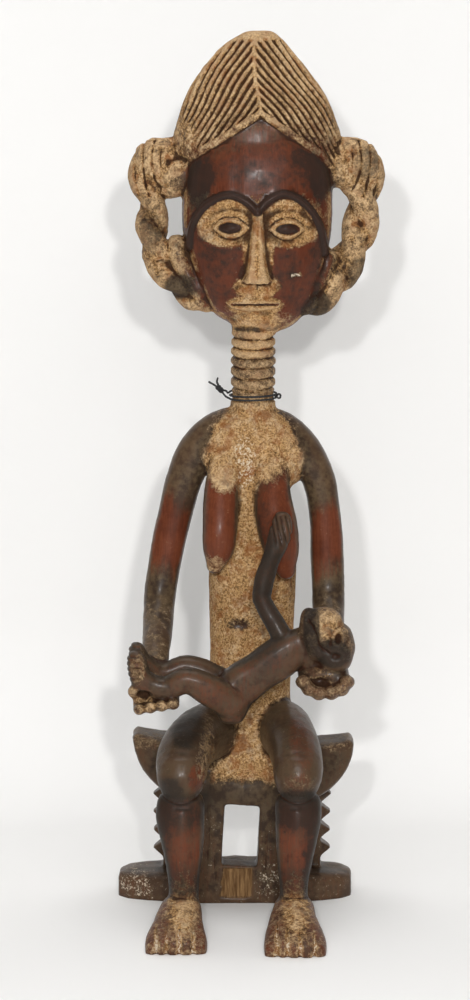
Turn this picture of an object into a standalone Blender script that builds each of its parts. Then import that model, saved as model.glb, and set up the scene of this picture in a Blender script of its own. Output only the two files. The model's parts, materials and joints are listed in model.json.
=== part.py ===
"""Seated mother with a child across her lap, carved with her stool from one block of wood.

Metres, +Z up. The mother faces -Y, and the origin is the middle of the stool's underside.
The stool has its own named sizes. The figure is drawn in parts of its height (PART, about a
millimetre each) and rests on the seat, whose height is a named size too.
"""

import math

import bmesh
import bpy
import numpy as np

# Overall heights
FIGURE_HEIGHT = 0.472
SEAT_HEIGHT = 0.068

# Stool base: a bowed slab, deepest at its middle
BASE_LENGTH = 0.128
BASE_MIDDLE_DEPTH = 0.048
BASE_END_DEPTH = 0.025
BASE_THICKNESS = 0.0132
BASE_CROWN = 0.0025

# Stool front panel with its window and the bare patch of wood under it
PANEL_MIDDLE = 0.0032
PANEL_WIDTH = 0.050
PANEL_THICKNESS = 0.014
WINDOW_WIDTH = 0.0193
WINDOW_SILL = 0.0208
WINDOW_HEIGHT = 0.0340
PATCH_MIDDLE = 0.0016
PATCH_WIDTH = 0.0172
PATCH_HEIGHT = 0.0172
PATCH_DEPTH = 0.0012
PATCH_GAP = 0.0008

# Saw-toothed side posts
POST_MIDDLE = 0.0039
POST_SPAN = 0.099
POST_WIDTH = 0.022
POST_THICKNESS = 0.014
POST_SETBACK = 0.030
TOOTH_START = 0.0032
TOOTH_COUNT = 4
TOOTH_PITCH = 0.0102
TOOTH_DEPTH = 0.0060

# Saddle seat
SEAT_MIDDLE = 0.0045
SEAT_LENGTH = 0.119
SEAT_TIP_RISE = 0.0225
SEAT_THICKNESS = 0.0155
SEAT_TIP_THICKNESS = 0.0035
SEAT_DEPTH = 0.050
SEAT_TIP_DEPTH = 0.020
SEAT_LEAN = 0.0018
SEAT_SWEEP = 4.0

# String tied twice round the foot of the neck
CORD_DIAMETER = 0.0011
CORD_CLEARANCE = 0.0003
CORD_TURNS = 2
CORD_PITCH = 0.0019

# Fineness of the carving
CARVING_GRAIN = 0.0009
CARVING_TRIANGLES = 8600
CORD_GRAIN = 0.00022
CORD_TRIANGLES = 700

# The figure's own measure: heights above the seat and widths are shares of the figure's height
DRAWN_HEIGHT = 472.0
DRAWN_SEAT = 68.0
PART = FIGURE_HEIGHT / DRAWN_HEIGHT
ABOVE_SEAT = (FIGURE_HEIGHT - SEAT_HEIGHT) / (DRAWN_HEIGHT - DRAWN_SEAT)
BELOW_SEAT = SEAT_HEIGHT / DRAWN_SEAT

BACK = (0.0, 1.0, 0.0)
UP = (0.0, 0.0, 1.0)
ACROSS = (1.0, 0.0, 0.0)


def place(points):
    """Turn drawn points (parts of the height) into metres, keeping the seat's own height."""
    points = np.asarray(points, float)
    placed = points * PART
    heights = points[..., 2]
    above = SEAT_HEIGHT + (heights - DRAWN_SEAT) * ABOVE_SEAT
    placed[..., 2] = np.where(heights > DRAWN_SEAT, above, heights * BELOW_SEAT)
    return placed


def drawn(points):
    """Turn points in metres back into drawn ones: the inverse of place."""
    found = np.asarray(points, float) / PART
    heights = points[:, 2]
    above = DRAWN_SEAT + (heights - SEAT_HEIGHT) / ABOVE_SEAT
    found[:, 2] = np.where(heights > SEAT_HEIGHT, above, heights / BELOW_SEAT)
    return found


def smooth_step(values):
    """Ease from 0 to 1 as values go from 0 to 1."""
    values = np.clip(values, 0.0, 1.0)
    return values * values * (3.0 - 2.0 * values)


def spline(stations, steps):
    """Read a smooth curve through the stations, with the given steps between each two."""
    rows = np.array(stations, float)
    ends = np.vstack([2 * rows[0] - rows[1], rows, 2 * rows[-1] - rows[-2]])
    shares = np.linspace(0.0, 1.0, steps, endpoint=False)[:, None]
    spans = []
    for index in range(1, len(ends) - 2):
        before, start, finish, after = ends[index - 1:index + 3]
        spans.append(0.5 * (2 * start + (finish - before) * shares
                            + (2 * before - 5 * start + 4 * finish - after) * shares ** 2
                            + (3 * start - before - 3 * finish + after) * shares ** 3))
    return np.vstack(spans + [rows[-1:]])


def rings_to_mesh(forms, rings):
    """Add one closed skin through a list of equal rings of points, ends closed by a fan."""
    loops = [[forms.verts.new(point) for point in ring] for ring in rings]
    count = len(loops[0])
    for lower, upper in zip(loops, loops[1:]):
        for index in range(count):
            follow = (index + 1) % count
            forms.faces.new((lower[index], lower[follow], upper[follow], upper[index]))
    for loop, flipped in ((loops[0], True), (loops[-1], False)):
        centre = forms.verts.new(sum((vert.co for vert in loop), loop[0].co * 0) / count)
        for index in range(count):
            pair = (loop[index], loop[(index + 1) % count])
            forms.faces.new((pair[1], pair[0], centre) if flipped else (pair[0], pair[1], centre))


def limb(forms, stations, facing=BACK, squareness=2.0, dome=1.0, steps=4, sides=20, twist=None):
    """Add a rounded limb along stations of (x, y, z, half width, half depth), in drawn parts.

    The half depth lies along facing. Squareness 2 is an ellipse and more is boxier. Dome is how
    far the ends bulge. Twist, as (strands, turns, height), ropes the skin.
    """
    rows = spline(stations, steps)
    centres, halves = rows[:, :3], rows[:, 3:5]
    tangents = np.gradient(centres, axis=0)
    tangents /= np.linalg.norm(tangents, axis=1)[:, None]
    facing = np.array(facing, float)
    depth_axes = facing - tangents * (tangents @ facing)[:, None]
    depth_axes /= np.linalg.norm(depth_axes, axis=1)[:, None]
    width_axes = np.cross(depth_axes, tangents)
    angles = np.linspace(0.0, 2 * math.pi, sides, endpoint=False)
    power = 2.0 / squareness
    across = np.sign(np.cos(angles)) * np.abs(np.cos(angles)) ** power
    deep = np.sign(np.sin(angles)) * np.abs(np.sin(angles)) ** power
    bulge = np.radians([0.0, 30.0, 55.0, 75.0])
    plan = [(0, -math.sin(a), math.cos(a)) for a in bulge[:0:-1]]
    plan += [(index, 0.0, 1.0) for index in range(len(rows))]
    plan += [(len(rows) - 1, math.sin(a), math.cos(a)) for a in bulge[1:]]
    rings = []
    for index, reach, shrink in plan:
        width, depth = halves[index] * shrink
        swell = 1.0
        if twist is not None:
            strands, turns, height = twist
            share = index / (len(rows) - 1)
            phase = strands * angles + 2 * math.pi * turns * share
            begun = smooth_step((share - 0.12) / 0.15)
            swell = 1.0 + height * begun * (np.abs(np.cos(phase / 2)) - 0.75)
        offset = centres[index] + tangents[index] * reach * min(halves[index]) * dome
        ring = (offset + width_axes[index] * (across * swell)[:, None] * width
                + depth_axes[index] * (deep * swell)[:, None] * depth)
        rings.append(place(ring))
    rings_to_mesh(forms, rings)


def ball(forms, centre, halves):
    """Add an ellipsoid in drawn parts."""
    made = bmesh.ops.create_uvsphere(forms, u_segments=20, v_segments=14, radius=1.0)["verts"]
    points = np.array([vert.co for vert in made])
    placed = place(points * np.array(halves) + np.array(centre))
    for vert, point in zip(made, placed):
        vert.co = point


def add_body(forms):
    """Add the mother's trunk, neck and breasts."""
    trunk = [(8, 4, 72, 27, 20), (8, 3, 92, 28, 20), (8, 0, 110, 22.5, 18), (9, 0, 145, 23, 17.5),
             (9.5, 0, 180, 24, 17.5), (9, 0, 204, 23, 17), (8.4, 0, 226, 21.5, 16.5),
             (9.5, 0, 237, 29, 16.5), (9.8, 0, 245, 33, 16), (9.8, 1, 255, 28, 15),
             (9.8, 2, 263.5, 18, 13.5)]
    limb(forms, trunk, squareness=2.5, dome=0.5)
    limb(forms, [(9.8, 2, 256, 16, 14), (9.8, 2, 266, 14, 13), (9.7, 2, 273, 12.2, 11.8),
                 (9.8, 2, 298, 12.2, 11.7), (10, 1, 322, 11.8, 11)], dome=0.3)
    limb(forms, [(-4.5, -9, 247, 8, 6), (-7.3, -17, 228, 9.2, 8.5), (-8, -22.5, 210, 9.5, 10.5),
                 (-9, -24.5, 197, 8.6, 9.2), (-10.6, -23.5, 188, 4.8, 5.6)])
    limb(forms, [(20, -9, 247, 8.5, 6), (20, -17, 227, 9.8, 8.5), (22.6, -22.5, 209, 10.9, 10.5),
                 (25.3, -24.5, 195, 9.2, 9.2), (27.2, -23.5, 185.5, 5.4, 5.8)])
    ball(forms, (8, 8, 88), (33, 21, 20))
    limb(forms, [(8, -11, 58, 19, 13), (7, -11, 78, 22, 13), (7.5, -9, 100, 20, 12),
                 (8, -4, 112, 17, 13)], squareness=4.0, dome=0.2)


def add_arms(forms):
    """Add the arms from the foot of the neck over the shoulders to the wrists."""
    left = [(8, 2, 261, 10.8, 10.5), (-7.5, 2, 257.5, 10.8, 11), (-20.5, 2, 246.5, 10.6, 11),
            (-28.2, 1.5, 229, 9.9, 10), (-33.2, 1, 209, 9.3, 9.4), (-38, 0, 187, 9, 9),
            (-41, -3, 166, 8.6, 8.6), (-41.6, -16, 153.5, 8.2, 8), (-42.2, -34, 145, 7.6, 7.2),
            (-42.8, -50, 134, 7.2, 6.8)]
    right = [(12, 2, 261, 10.5, 10.5), (24.5, 2, 257.5, 10.5, 11), (36.6, 2, 247, 10.2, 11),
             (45.4, 1.5, 230.5, 9, 10), (49, 1, 210, 8.8, 9.4), (50.3, 0, 187, 9.2, 9),
             (50.8, -3, 167, 8.9, 8.6), (50.9, -16, 155.5, 8.4, 8), (50.9, -34, 149, 7.6, 7.2),
             (50.5, -50, 141, 7.2, 6.8)]
    for stations in (left, right):
        limb(forms, stations, squareness=2.2)


def add_hands(forms):
    """Add the cupped hand under the child's feet and the spread hand under its head."""
    limb(forms, [(-42.5, -46, 136, 7.5, 6), (-43.5, -56, 127.5, 10.5, 6), (-43, -63, 122, 11, 5)],
         facing=UP)
    finger_gap = 6.0
    finger_rise = 0.9
    for finger in range(4):
        side = -50.5 + finger_gap * finger
        low = 118.6 + finger_rise * finger
        limb(forms, [(side, -56, 122.5, 3.4, 3.2), (side, -66, low, 3.5, 3.2),
                     (side, -72, low + finger_rise, 3.1, 3)], facing=UP, sides=12)
    limb(forms, [(-48, -52, 130, 4, 4), (-53, -60, 126.5, 3.6, 3.6), (-53.5, -68, 128.5, 3, 3)],
         facing=UP, sides=12)
    limb(forms, [(50.5, -46, 142, 7.6, 6), (48, -55, 137, 12.5, 7), (46.5, -61, 135, 14, 7)],
         facing=UP)
    palm_x, palm_z = 47.5, 134.6
    for degrees in (-165, -135, -105, -75, -45, -15):
        turn = math.radians(degrees)
        tip_x = palm_x + 11.6 * math.cos(turn)
        tip_z = palm_z + 8.4 * math.sin(turn)
        limb(forms, [(palm_x, -55, palm_z, 4, 4), (tip_x, -63, tip_z, 4.1, 3.8),
                     (tip_x, -69, tip_z + 1.6, 3.5, 3.2)], facing=UP, sides=12)


def add_legs(forms):
    """Add thighs, shins and feet, on one straight line of sight to the front."""
    left_thigh = [(-2, 0, 94, 15, 15), (-12, -16, 95.5, 14.8, 15.5), (-21.5, -38, 95, 14.6, 14.8),
                  (-26.8, -57, 91, 14.2, 14.4), (-28.4, -69, 86, 13.6, 13.6)]
    right_thigh = [(20, 0, 94, 15, 15), (26.5, -16, 95.5, 14.5, 15.5), (30, -38, 95, 13.6, 14.8),
                   (32.6, -57, 91, 13.6, 14.4), (33.4, -69, 86, 13.4, 13.6)]
    left_shin = [(-28.6, -72, 70, 12.6, 10.5), (-28.8, -74, 62, 12.8, 11), (-27.7, -76, 50, 11.4, 10),
                 (-27, -77, 34, 9, 8.8), (-27, -77, 21, 8, 8.8), (-27.5, -76, 8, 9.5, 10)]
    right_shin = [(33.2, -72, 70, 12.2, 10.5), (33.4, -74, 62, 12.2, 11), (32.3, -76, 50, 11, 10),
                  (31.2, -77, 34, 8.8, 8.8), (31, -77, 21, 7.4, 8.8), (31, -76, 8, 9.5, 10)]
    for stations in (left_thigh, right_thigh):
        limb(forms, stations, facing=UP, squareness=2.2)
    for stations in (left_shin, right_shin):
        limb(forms, stations, squareness=2.2, dome=0.7)
    ball(forms, (-28.5, -71, 84), (13.2, 13.8, 13.6))
    ball(forms, (33.2, -71, 84), (13, 13.8, 13.6))
    left_foot = [(-28, -68, 6, 9.5, 9), (-28.5, -80, 10, 11, 11), (-29.6, -95, 7, 13.4, 10),
                 (-30.4, -107, 3.5, 16.2, 8.5), (-30.4, -114.5, 1, 16, 7.5)]
    right_foot = [(31, -68, 6, 9.5, 9), (31, -80, 10, 11, 11), (30.6, -95, 7, 13.6, 10),
                  (31, -109, 3.5, 16.2, 8.5), (31, -119, 1, 16, 7.5)]
    for stations in (left_foot, right_foot):
        limb(forms, stations, facing=UP, squareness=3.0, dome=0.4)


def add_child(forms):
    """Add the child on its back: trunk, two bent legs, the raised arm and the head."""
    limb(forms, [(36, -57, 153, 8, 8), (25, -57, 145, 11, 10), (12, -57, 136, 10.5, 10),
                 (1, -57, 127, 11.5, 10.5), (-2, -57.5, 114.5, 8, 8.5)], squareness=2.8, dome=0.8)
    limb(forms, [(-1, -62, 121, 9.5, 7.5), (-13, -65, 128, 8.6, 7.5), (-25, -66, 133.5, 7, 6.5),
                 (-36, -66, 129.5, 6.3, 6), (-44, -66, 131.5, 5.6, 5.5)], squareness=2.3)
    limb(forms, [(-1, -50, 125, 9, 7), (-12, -50, 131, 8.4, 7), (-25, -50, 137.4, 6.8, 6.5),
                 (-36, -51, 134.4, 6.2, 6), (-45, -53, 136, 5.6, 5.5)], squareness=2.3)
    limb(forms, [(-43, -66, 130.5, 5.5, 5.6), (-49.5, -66, 135.5, 6, 6), (-52, -65, 144.8, 5, 6)],
         squareness=2.6)
    limb(forms, [(-44, -53, 136, 5.5, 5.6), (-50, -54, 141, 6, 6), (-52, -55, 147.5, 4.4, 6)],
         squareness=2.6)
    limb(forms, [(28, -58, 147, 7, 6), (24, -57, 157, 5.8, 5.2), (17.6, -54, 168, 5.2, 5),
                 (13.6, -51, 175.5, 4.8, 4.8)], sides=14)
    limb(forms, [(13.8, -51, 174.5, 5, 4.8), (15.6, -47, 184, 5.4, 4.6), (19.2, -42, 194, 5, 4.2),
                 (22, -39, 201, 5.8, 4.2), (24.6, -36.5, 209.5, 6.2, 4), (25.2, -34.5, 215.5, 4.8, 3.4)],
         sides=14)
    ball(forms, (40, -56, 146), (10, 9, 8.5))
    ball(forms, (46.5, -61, 157.5), (12, 11.5, 14.4))
    ball(forms, (53, -61.5, 150.5), (10.6, 11.5, 13.5))
    ball(forms, (39, -60, 160), (5.5, 8, 11.5))


def add_head(forms):
    """Add the head with its pointed helmet of hair."""
    head = [(11.3, -4, 314.5, 13.5, 9), (11.8, -2.5, 319, 22, 14.5), (12.2, -1, 326, 27.8, 19),
            (12.5, 0, 337, 32.6, 23.5), (12.5, 0, 351, 36.5, 26.5), (12, 0, 366, 39.6, 28),
            (12, 0, 382, 40, 28.5), (12.4, 0, 400, 38.5, 27.5), (12.2, 0, 415, 33, 23),
            (12, 0, 426, 22, 16)]
    limb(forms, head, squareness=2.25, dome=0.35, sides=36, steps=3)
    crest = [(12, 2, 397, 39, 22), (12, 2, 407, 43.5, 25), (11.5, 1.5, 415, 44.8, 25.5),
             (11.2, 1.5, 424, 42.2, 24), (11, 1.5, 440, 35, 19), (11.4, 2, 455, 23.8, 13.5),
             (12, 2.5, 465, 14.2, 9), (12, 3, 469.3, 8.5, 6)]
    limb(forms, crest, squareness=1.75, dome=0.2, sides=36, steps=3)


def add_plaits(forms):
    """Add the two looped plaits, each from its bun down to the jaw, and the band inside each."""
    left = [(-31, 5, 407, 9, 8), (-42, 4, 401, 13.6, 11), (-44.6, 4, 390, 11.6, 10),
            (-43.8, 4, 377, 7.8, 9), (-44.6, 4, 366, 8.6, 9), (-41, 4, 352, 8.8, 9),
            (-31.8, 2, 339, 8.6, 9), (-23, 0, 330.5, 7.2, 8), (-16.5, -2, 326, 5.2, 6)]
    right = [(52, 5, 407, 9, 8), (64.3, 4, 401.5, 13.4, 11), (68, 4, 390, 11.4, 10),
             (68.7, 4, 376, 9.1, 9), (66, 4, 362, 9.3, 9), (60, 4, 349, 9.4, 9),
             (53.5, 2, 338, 9.2, 9), (45, -1, 328.5, 7.6, 8), (38.5, -3, 325, 6, 6.5)]
    for stations in (left, right):
        limb(forms, stations, steps=6, sides=24, twist=(2, 4.5, 0.5))
    limb(forms, [(-31.5, 0, 359, 4.5, 8), (-28.5, 0, 348, 6, 9), (-19, -1, 333, 6, 9)])
    limb(forms, [(50.5, 0, 351, 4.5, 8), (47, 0, 342, 6, 9), (38, -1, 331, 6, 9)])
    limb(forms, [(-24, 3, 397, 13, 10.5), (-34, 3, 393, 13, 10.5), (-40, 3, 391, 9, 9)], facing=UP)
    limb(forms, [(48, 3, 401, 11, 10.5), (58, 3, 398, 10, 10.5), (64, 3, 396, 8, 9)], facing=UP)


def add_stool(forms):
    """Add the base, the panel, the posts and the seat from their own sizes, in metres."""
    shares = np.linspace(-1.0, 1.0, 33)
    angles = np.linspace(0.0, 2 * math.pi, 28, endpoint=False)
    across = np.sign(np.cos(angles)) * np.abs(np.cos(angles)) ** 0.35
    tall = np.sign(np.sin(angles)) * np.abs(np.sin(angles)) ** 0.35
    base_rings = []
    seat_rings = []
    for share in shares:
        rounded = 1.0 - 0.3 * max(0.0, (abs(share) - 0.9) / 0.1) ** 2
        half_depth = (BASE_END_DEPTH + (BASE_MIDDLE_DEPTH - BASE_END_DEPTH) * (1 - abs(share) ** 2.4)) / 2
        top = BASE_THICKNESS + BASE_CROWN * (1 - abs(share))
        base_rings.append([(share * BASE_LENGTH / 2, y * half_depth * rounded,
                            z * top * (0.75 + 0.25 * rounded)) for y, z in zip(across, tall)])
        lift = math.sin(abs(share) * math.pi / 2) ** 1.2
        seat_top = SEAT_HEIGHT + SEAT_TIP_RISE * lift
        tip_low = SEAT_HEIGHT + SEAT_TIP_RISE - SEAT_TIP_THICKNESS
        seat_low = SEAT_HEIGHT - SEAT_THICKNESS
        seat_low += (tip_low - seat_low) * abs(share) ** SEAT_SWEEP
        seat_depth = SEAT_TIP_DEPTH + (SEAT_DEPTH - SEAT_TIP_DEPTH) * (1 - share * share) ** 0.8
        middle, half = (seat_top + seat_low) / 2 - share * SEAT_LEAN, (seat_top - seat_low) / 2
        seat_rings.append([(SEAT_MIDDLE + share * SEAT_LENGTH / 2, y * seat_depth / 2,
                            middle + z * half) for y, z in zip(across, tall)])
    rings_to_mesh(forms, base_rings)
    rings_to_mesh(forms, seat_rings)
    front = -BASE_MIDDLE_DEPTH / 2
    box(forms, (PANEL_MIDDLE, front + PANEL_THICKNESS / 2, SEAT_HEIGHT / 2),
        (PANEL_WIDTH, PANEL_THICKNESS, SEAT_HEIGHT))
    for side in (-1, 1):
        add_post(forms, side, front + POST_SETBACK)


def box(target, centre, size):
    """Add a box by its centre and size, in metres."""
    made = bmesh.ops.create_cube(target, size=1.0)["verts"]
    for vert in made:
        vert.co = [c + s * v for c, s, v in zip(centre, size, vert.co)]


def add_post(forms, side, middle_y):
    """Add one side post: a flat board whose outer edge is cut into pointed teeth."""
    tip = POST_SPAN / 2
    tops = TOOTH_COUNT * TOOTH_PITCH
    start = BASE_THICKNESS + BASE_CROWN + TOOTH_START
    rows = [(tip - TOOTH_DEPTH, start - TOOTH_PITCH / 2, 1.0)]
    for tooth in range(TOOTH_COUNT):
        rows.append((tip - TOOTH_DEPTH, start + tooth * TOOTH_PITCH, 1.0))
        rows.append((tip, start + (tooth + 0.5) * TOOTH_PITCH, 0.45))
    rows.append((tip - TOOTH_DEPTH, start + tops, 1.0))
    rows.append((tip - TOOTH_DEPTH, SEAT_HEIGHT, 1.0))
    inner = tip - POST_WIDTH
    sheets = []
    for face in (-1, 1):
        outer = [forms.verts.new((POST_MIDDLE + side * x, middle_y + face * POST_THICKNESS / 2 * w, z))
                 for x, z, w in rows]
        back = [forms.verts.new((POST_MIDDLE + side * inner, middle_y + face * POST_THICKNESS / 2, z))
                for x, z, w in rows]
        for index in range(len(rows) - 1):
            quad = (outer[index], outer[index + 1], back[index + 1], back[index])
            forms.faces.new(quad if face * side > 0 else quad[::-1])
        sheets.append((outer, back))
    (front_outer, front_back), (rear_outer, rear_back) = sheets
    for front_edge, rear_edge, turned in ((front_outer, rear_outer, side > 0),
                                          (front_back, rear_back, side < 0)):
        for index in range(len(rows) - 1):
            quad = (front_edge[index], rear_edge[index], rear_edge[index + 1], front_edge[index + 1])
            forms.faces.new(quad if turned else quad[::-1])
    for index, turned in ((0, side < 0), (-1, side > 0)):
        quad = (front_outer[index], front_back[index], rear_back[index], rear_outer[index])
        forms.faces.new(quad if turned else quad[::-1])


def mesh_object(name, forms):
    """Make a linked object of the collected forms, faces out."""
    bmesh.ops.recalc_face_normals(forms, faces=forms.faces)
    mesh = bpy.data.meshes.new(name)
    forms.to_mesh(mesh)
    forms.free()
    made = bpy.data.objects.new(name, mesh)
    bpy.context.scene.collection.objects.link(made)
    return made


def fused(rough, grain):
    """Fuse overlapping forms into one skin, and return its points and four-cornered faces."""
    remesh = rough.modifiers.new("fuse", "REMESH")
    remesh.mode = "VOXEL"
    remesh.voxel_size = grain
    remesh.adaptivity = 0.0
    view = rough.evaluated_get(bpy.context.evaluated_depsgraph_get())
    mesh = view.to_mesh()
    points = np.empty(len(mesh.vertices) * 3)
    mesh.vertices.foreach_get("co", points)
    corners = np.empty(len(mesh.loops), dtype=np.int64)
    mesh.loops.foreach_get("vertex_index", corners)
    view.to_mesh_clear()
    bpy.data.objects.remove(rough)
    return points.reshape(-1, 3), corners.reshape(-1, 4)


def largest_body(points, faces):
    """Keep the body with the most points, because a block of wood has no shut hollow inside."""
    label = np.arange(len(points))
    while True:
        lowest = label[faces].min(axis=1)
        fresh = label.copy()
        for corner in range(4):
            np.minimum.at(fresh, faces[:, corner], lowest)
        fresh = fresh[fresh]
        if np.array_equal(fresh, label):
            break
        label = fresh
    main = np.bincount(label).argmax()
    kept = label == main
    renumber = np.cumsum(kept) - 1
    return points[kept], renumber[faces[kept[faces[:, 0]]]]


def edge_pairs(faces):
    """List the edges of the faces, each once from either side."""
    following = np.roll(faces, -1, axis=1)
    return faces.ravel(), following.ravel()


def relax(points, faces, rounds, strength):
    """Soften the skin: each point moves by strength towards the middle of its neighbours."""
    first, second = edge_pairs(faces)
    degree = np.bincount(first, minlength=len(points))[:, None]
    for _ in range(rounds):
        total = np.stack([np.bincount(first, weights=points[second, axis], minlength=len(points))
                          for axis in range(3)], axis=1)
        points = points + strength * (total / degree - points)
    return points


def normals_of(points, faces):
    """Work out the outward direction at each point."""
    first = points[faces[:, 2]] - points[faces[:, 0]]
    second = points[faces[:, 3]] - points[faces[:, 1]]
    facing = np.cross(first, second)
    total = np.zeros_like(points)
    for corner in range(4):
        for axis in range(3):
            total[:, axis] += np.bincount(faces[:, corner], weights=facing[:, axis], minlength=len(points))
    return total / np.linalg.norm(total, axis=1)[:, None]


def distance_to_line(x, z, corners):
    """Measure how far points of the front view lie from a line of corners."""
    best = np.full(x.shape, 1e9)
    for (x0, z0), (x1, z1) in zip(corners, corners[1:]):
        run_x, run_z = x1 - x0, z1 - z0
        share = ((x - x0) * run_x + (z - z0) * run_z) / (run_x ** 2 + run_z ** 2)
        share = np.clip(share, 0.0, 1.0)
        best = np.minimum(best, np.hypot(x - x0 - share * run_x, z - z0 - share * run_z))
    return best


def ridge(distance, half_width):
    """A rounded ridge: 1 on the line and 0 at the half width."""
    return smooth_step(1.0 - distance / half_width)


HAIR_APEX = (13.5, 427.0)
HAIR_CORNERS = [(-29.0, 396.0), (-22.0, 404.5), HAIR_APEX, (45.0, 406.0), (53.0, 396.0)]
NAPE_LEVEL = 346.0
PARTING_X = 10.2
PARTING_HALF = 2.6
LOCK_RISE = 5.2
LOCK_SLOPE = 1.15
LOCK_STEEPENING = 0.008
LOCK_DEPTH = 1.7


def hair_relief(x, y, z, facing_y):
    """Cut the locks of the crest in front and behind, and raise the band along the forehead."""
    hairline = np.interp(x, [c[0] for c in HAIR_CORNERS], [c[1] for c in HAIR_CORNERS])
    front = facing_y < 0.12
    above = np.where(front, z - hairline, z - NAPE_LEVEL)
    hair = smooth_step((above - 2.6) / 1.6) * smooth_step((467 - z) / 4)
    hair *= smooth_step((x + 33) / 6) * smooth_step((56 - x) / 6)
    lean = (HAIR_APEX[0] - PARTING_X) * smooth_step((452 - z) / (452 - HAIR_APEX[1]))
    from_parting = np.abs(x - PARTING_X - lean)
    start = z + LOCK_SLOPE * from_parting + LOCK_STEEPENING * from_parting ** 2
    groove = 0.5 + 0.5 * np.cos(2 * math.pi * start / LOCK_RISE)
    groove *= 1 - ridge(from_parting, PARTING_HALF)
    groove *= smooth_step((np.abs(facing_y) - 0.12) / 0.4)
    rim = smooth_step((above + 1.4) / 1.6) + 0.6 * ridge(np.abs(above - 1.2), 3.0)
    rim *= smooth_step((x + 29) / 6) * smooth_step((53 - x) / 6)
    lift = np.where(front, rim, hair)
    return (lift - LOCK_DEPTH * groove * hair) * (z > NAPE_LEVEL)


BROW_LEFT = [(-25, 357), (-22.5, 370), (-15.5, 380.5), (-4, 386), (6, 382.5), (11.8, 377)]
BROW_RIGHT = [(11.8, 377), (18, 383.5), (27, 386.5), (37, 381), (45, 369.5), (48.5, 354)]
EYE_CENTRES = ((-2.8, 368.4), (28.2, 367.8))
EYE_HALVES = (9.2, 5.0)
NOSE_TOP = 377.0
NOSE_FOOT = 340.5
NOSE_X = 11.7
MOUTH = (-3.2, 24.2, 327.6)
BROW_HALF = 2.6
BROW_HEIGHT = 1.3


def face_relief(x, y, z, facing_y):
    """Carve the mask: sockets under arched brows, eyes, wedge nose, level lips and hollow chin."""
    front = smooth_step((-facing_y - 0.05) / 0.25) * (y < -2)
    brow = np.minimum(distance_to_line(x, z, spline(BROW_LEFT, 4)),
                      distance_to_line(x, z, spline(BROW_RIGHT, 4)))
    relief = BROW_HEIGHT * ridge(brow, BROW_HALF)
    for (eye_x, eye_z) in EYE_CENTRES:
        socket = np.hypot((x - eye_x) / 17.0, (z - eye_z - 1.5) / 12.5)
        relief -= 2.3 * smooth_step((1.05 - socket) / 0.45) * (1 - ridge(brow, BROW_HALF + 0.4))
        span = np.clip(np.abs(x - eye_x) / EYE_HALVES[0], 0, 1.2)
        lid = np.abs(z - eye_z) - EYE_HALVES[1] * (1 - span ** 2)
        beside = smooth_step((1.16 - span) / 0.2)
        relief += 1.2 * smooth_step((1.6 - lid) / 1.6) * beside
        relief += 0.8 * ridge(np.abs(lid), 1.4) * beside
        iris = np.hypot((x - eye_x) / 5.4, (z - eye_z) / 3.2)
        relief += 0.8 * smooth_step((1.0 - iris) / 0.5)
    down = (NOSE_TOP - z) / (NOSE_TOP - NOSE_FOOT)
    down = np.clip(down, 0, 1)
    half = 2.2 + 1.8 * down + 2.8 * down ** 5
    height = 1.8 + 5.2 * down ** 1.1
    body = smooth_step((half + 1.1 - np.abs(x - NOSE_X)) / 2.6)
    body *= smooth_step((z - NOSE_FOOT + 0.6) / 1.4) * smooth_step((NOSE_TOP + 3 - z) / 5)
    relief += height * body
    relief -= 1.0 * smooth_step((15 - np.abs(x - NOSE_X)) / 5) * ridge(np.abs(z - 336.5), 5) * (1 - body)
    mouth_x = (x - (MOUTH[0] + MOUTH[1]) / 2) / ((MOUTH[1] - MOUTH[0]) / 2)
    fullness = np.clip(1 - mouth_x ** 2, 0.0, 1.0) ** 0.4
    width = smooth_step((1.03 - np.abs(mouth_x)) / 0.12)
    relief += width * 1.9 * ridge(np.abs(z - MOUTH[2] - 1.6 * fullness), 2.2)
    relief += width * 1.9 * ridge(np.abs(z - MOUTH[2] + 2.0 * fullness), 2.5)
    relief -= width * 0.9 * ridge(np.abs(z - MOUTH[2]), 0.9)
    relief -= 0.8 * smooth_step((12 - np.abs(x - 11)) / 6) * ridge(np.abs(z - 321.5), 3.2)
    return relief * front * (z > 312) * (z < 395)


NECK_RINGS = (308.5, 303.2, 298.0, 292.8, 287.0, 281.2)
CORD_LEVEL = 276.6
CORD_SEAT = 0.7
NECK_RADIUS = 12.2


def neck_relief(x, y, z):
    """Ring the neck with creases that sag a little in front, and seat the string below them."""
    near = np.hypot((x - 9.8) / 15.5, (y - 2) / 15.5) < 1.0
    sag = 1.0 * np.clip(-(y - 2) / 11.0, -1, 1)
    relief = np.zeros_like(x)
    for level in NECK_RINGS:
        relief -= 1.15 * ridge(np.abs(z + sag - level), 1.9)
    relief -= CORD_SEAT * smooth_step(3.4 - np.abs(z - CORD_LEVEL))
    return relief * near * (z > 270) * (z < 312)


TOE_CUTS = (-40.8, -35.4, -28.8, -21.6, 21.8, 27.0, 33.6, 41.0)
TOE_CUT_TOP = 14.0
TOE_CUT_DEPTH = 1.8


def toe_relief(x, y, z, facing_y, facing_z):
    """Part the toes with wedges that are widest at the floor and run out on the foot."""
    wide = np.clip((TOE_CUT_TOP - z) / TOE_CUT_TOP, 0.0, 1.0)
    relief = np.zeros_like(x)
    for cut in TOE_CUTS:
        relief -= TOE_CUT_DEPTH * ridge(np.abs(x - cut), 0.7 + 1.6 * wide) * smooth_step(2.5 * wide)
    return relief * smooth_step((-y - 101.0) / 6.0) * (facing_z - facing_y > 0.3)


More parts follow.
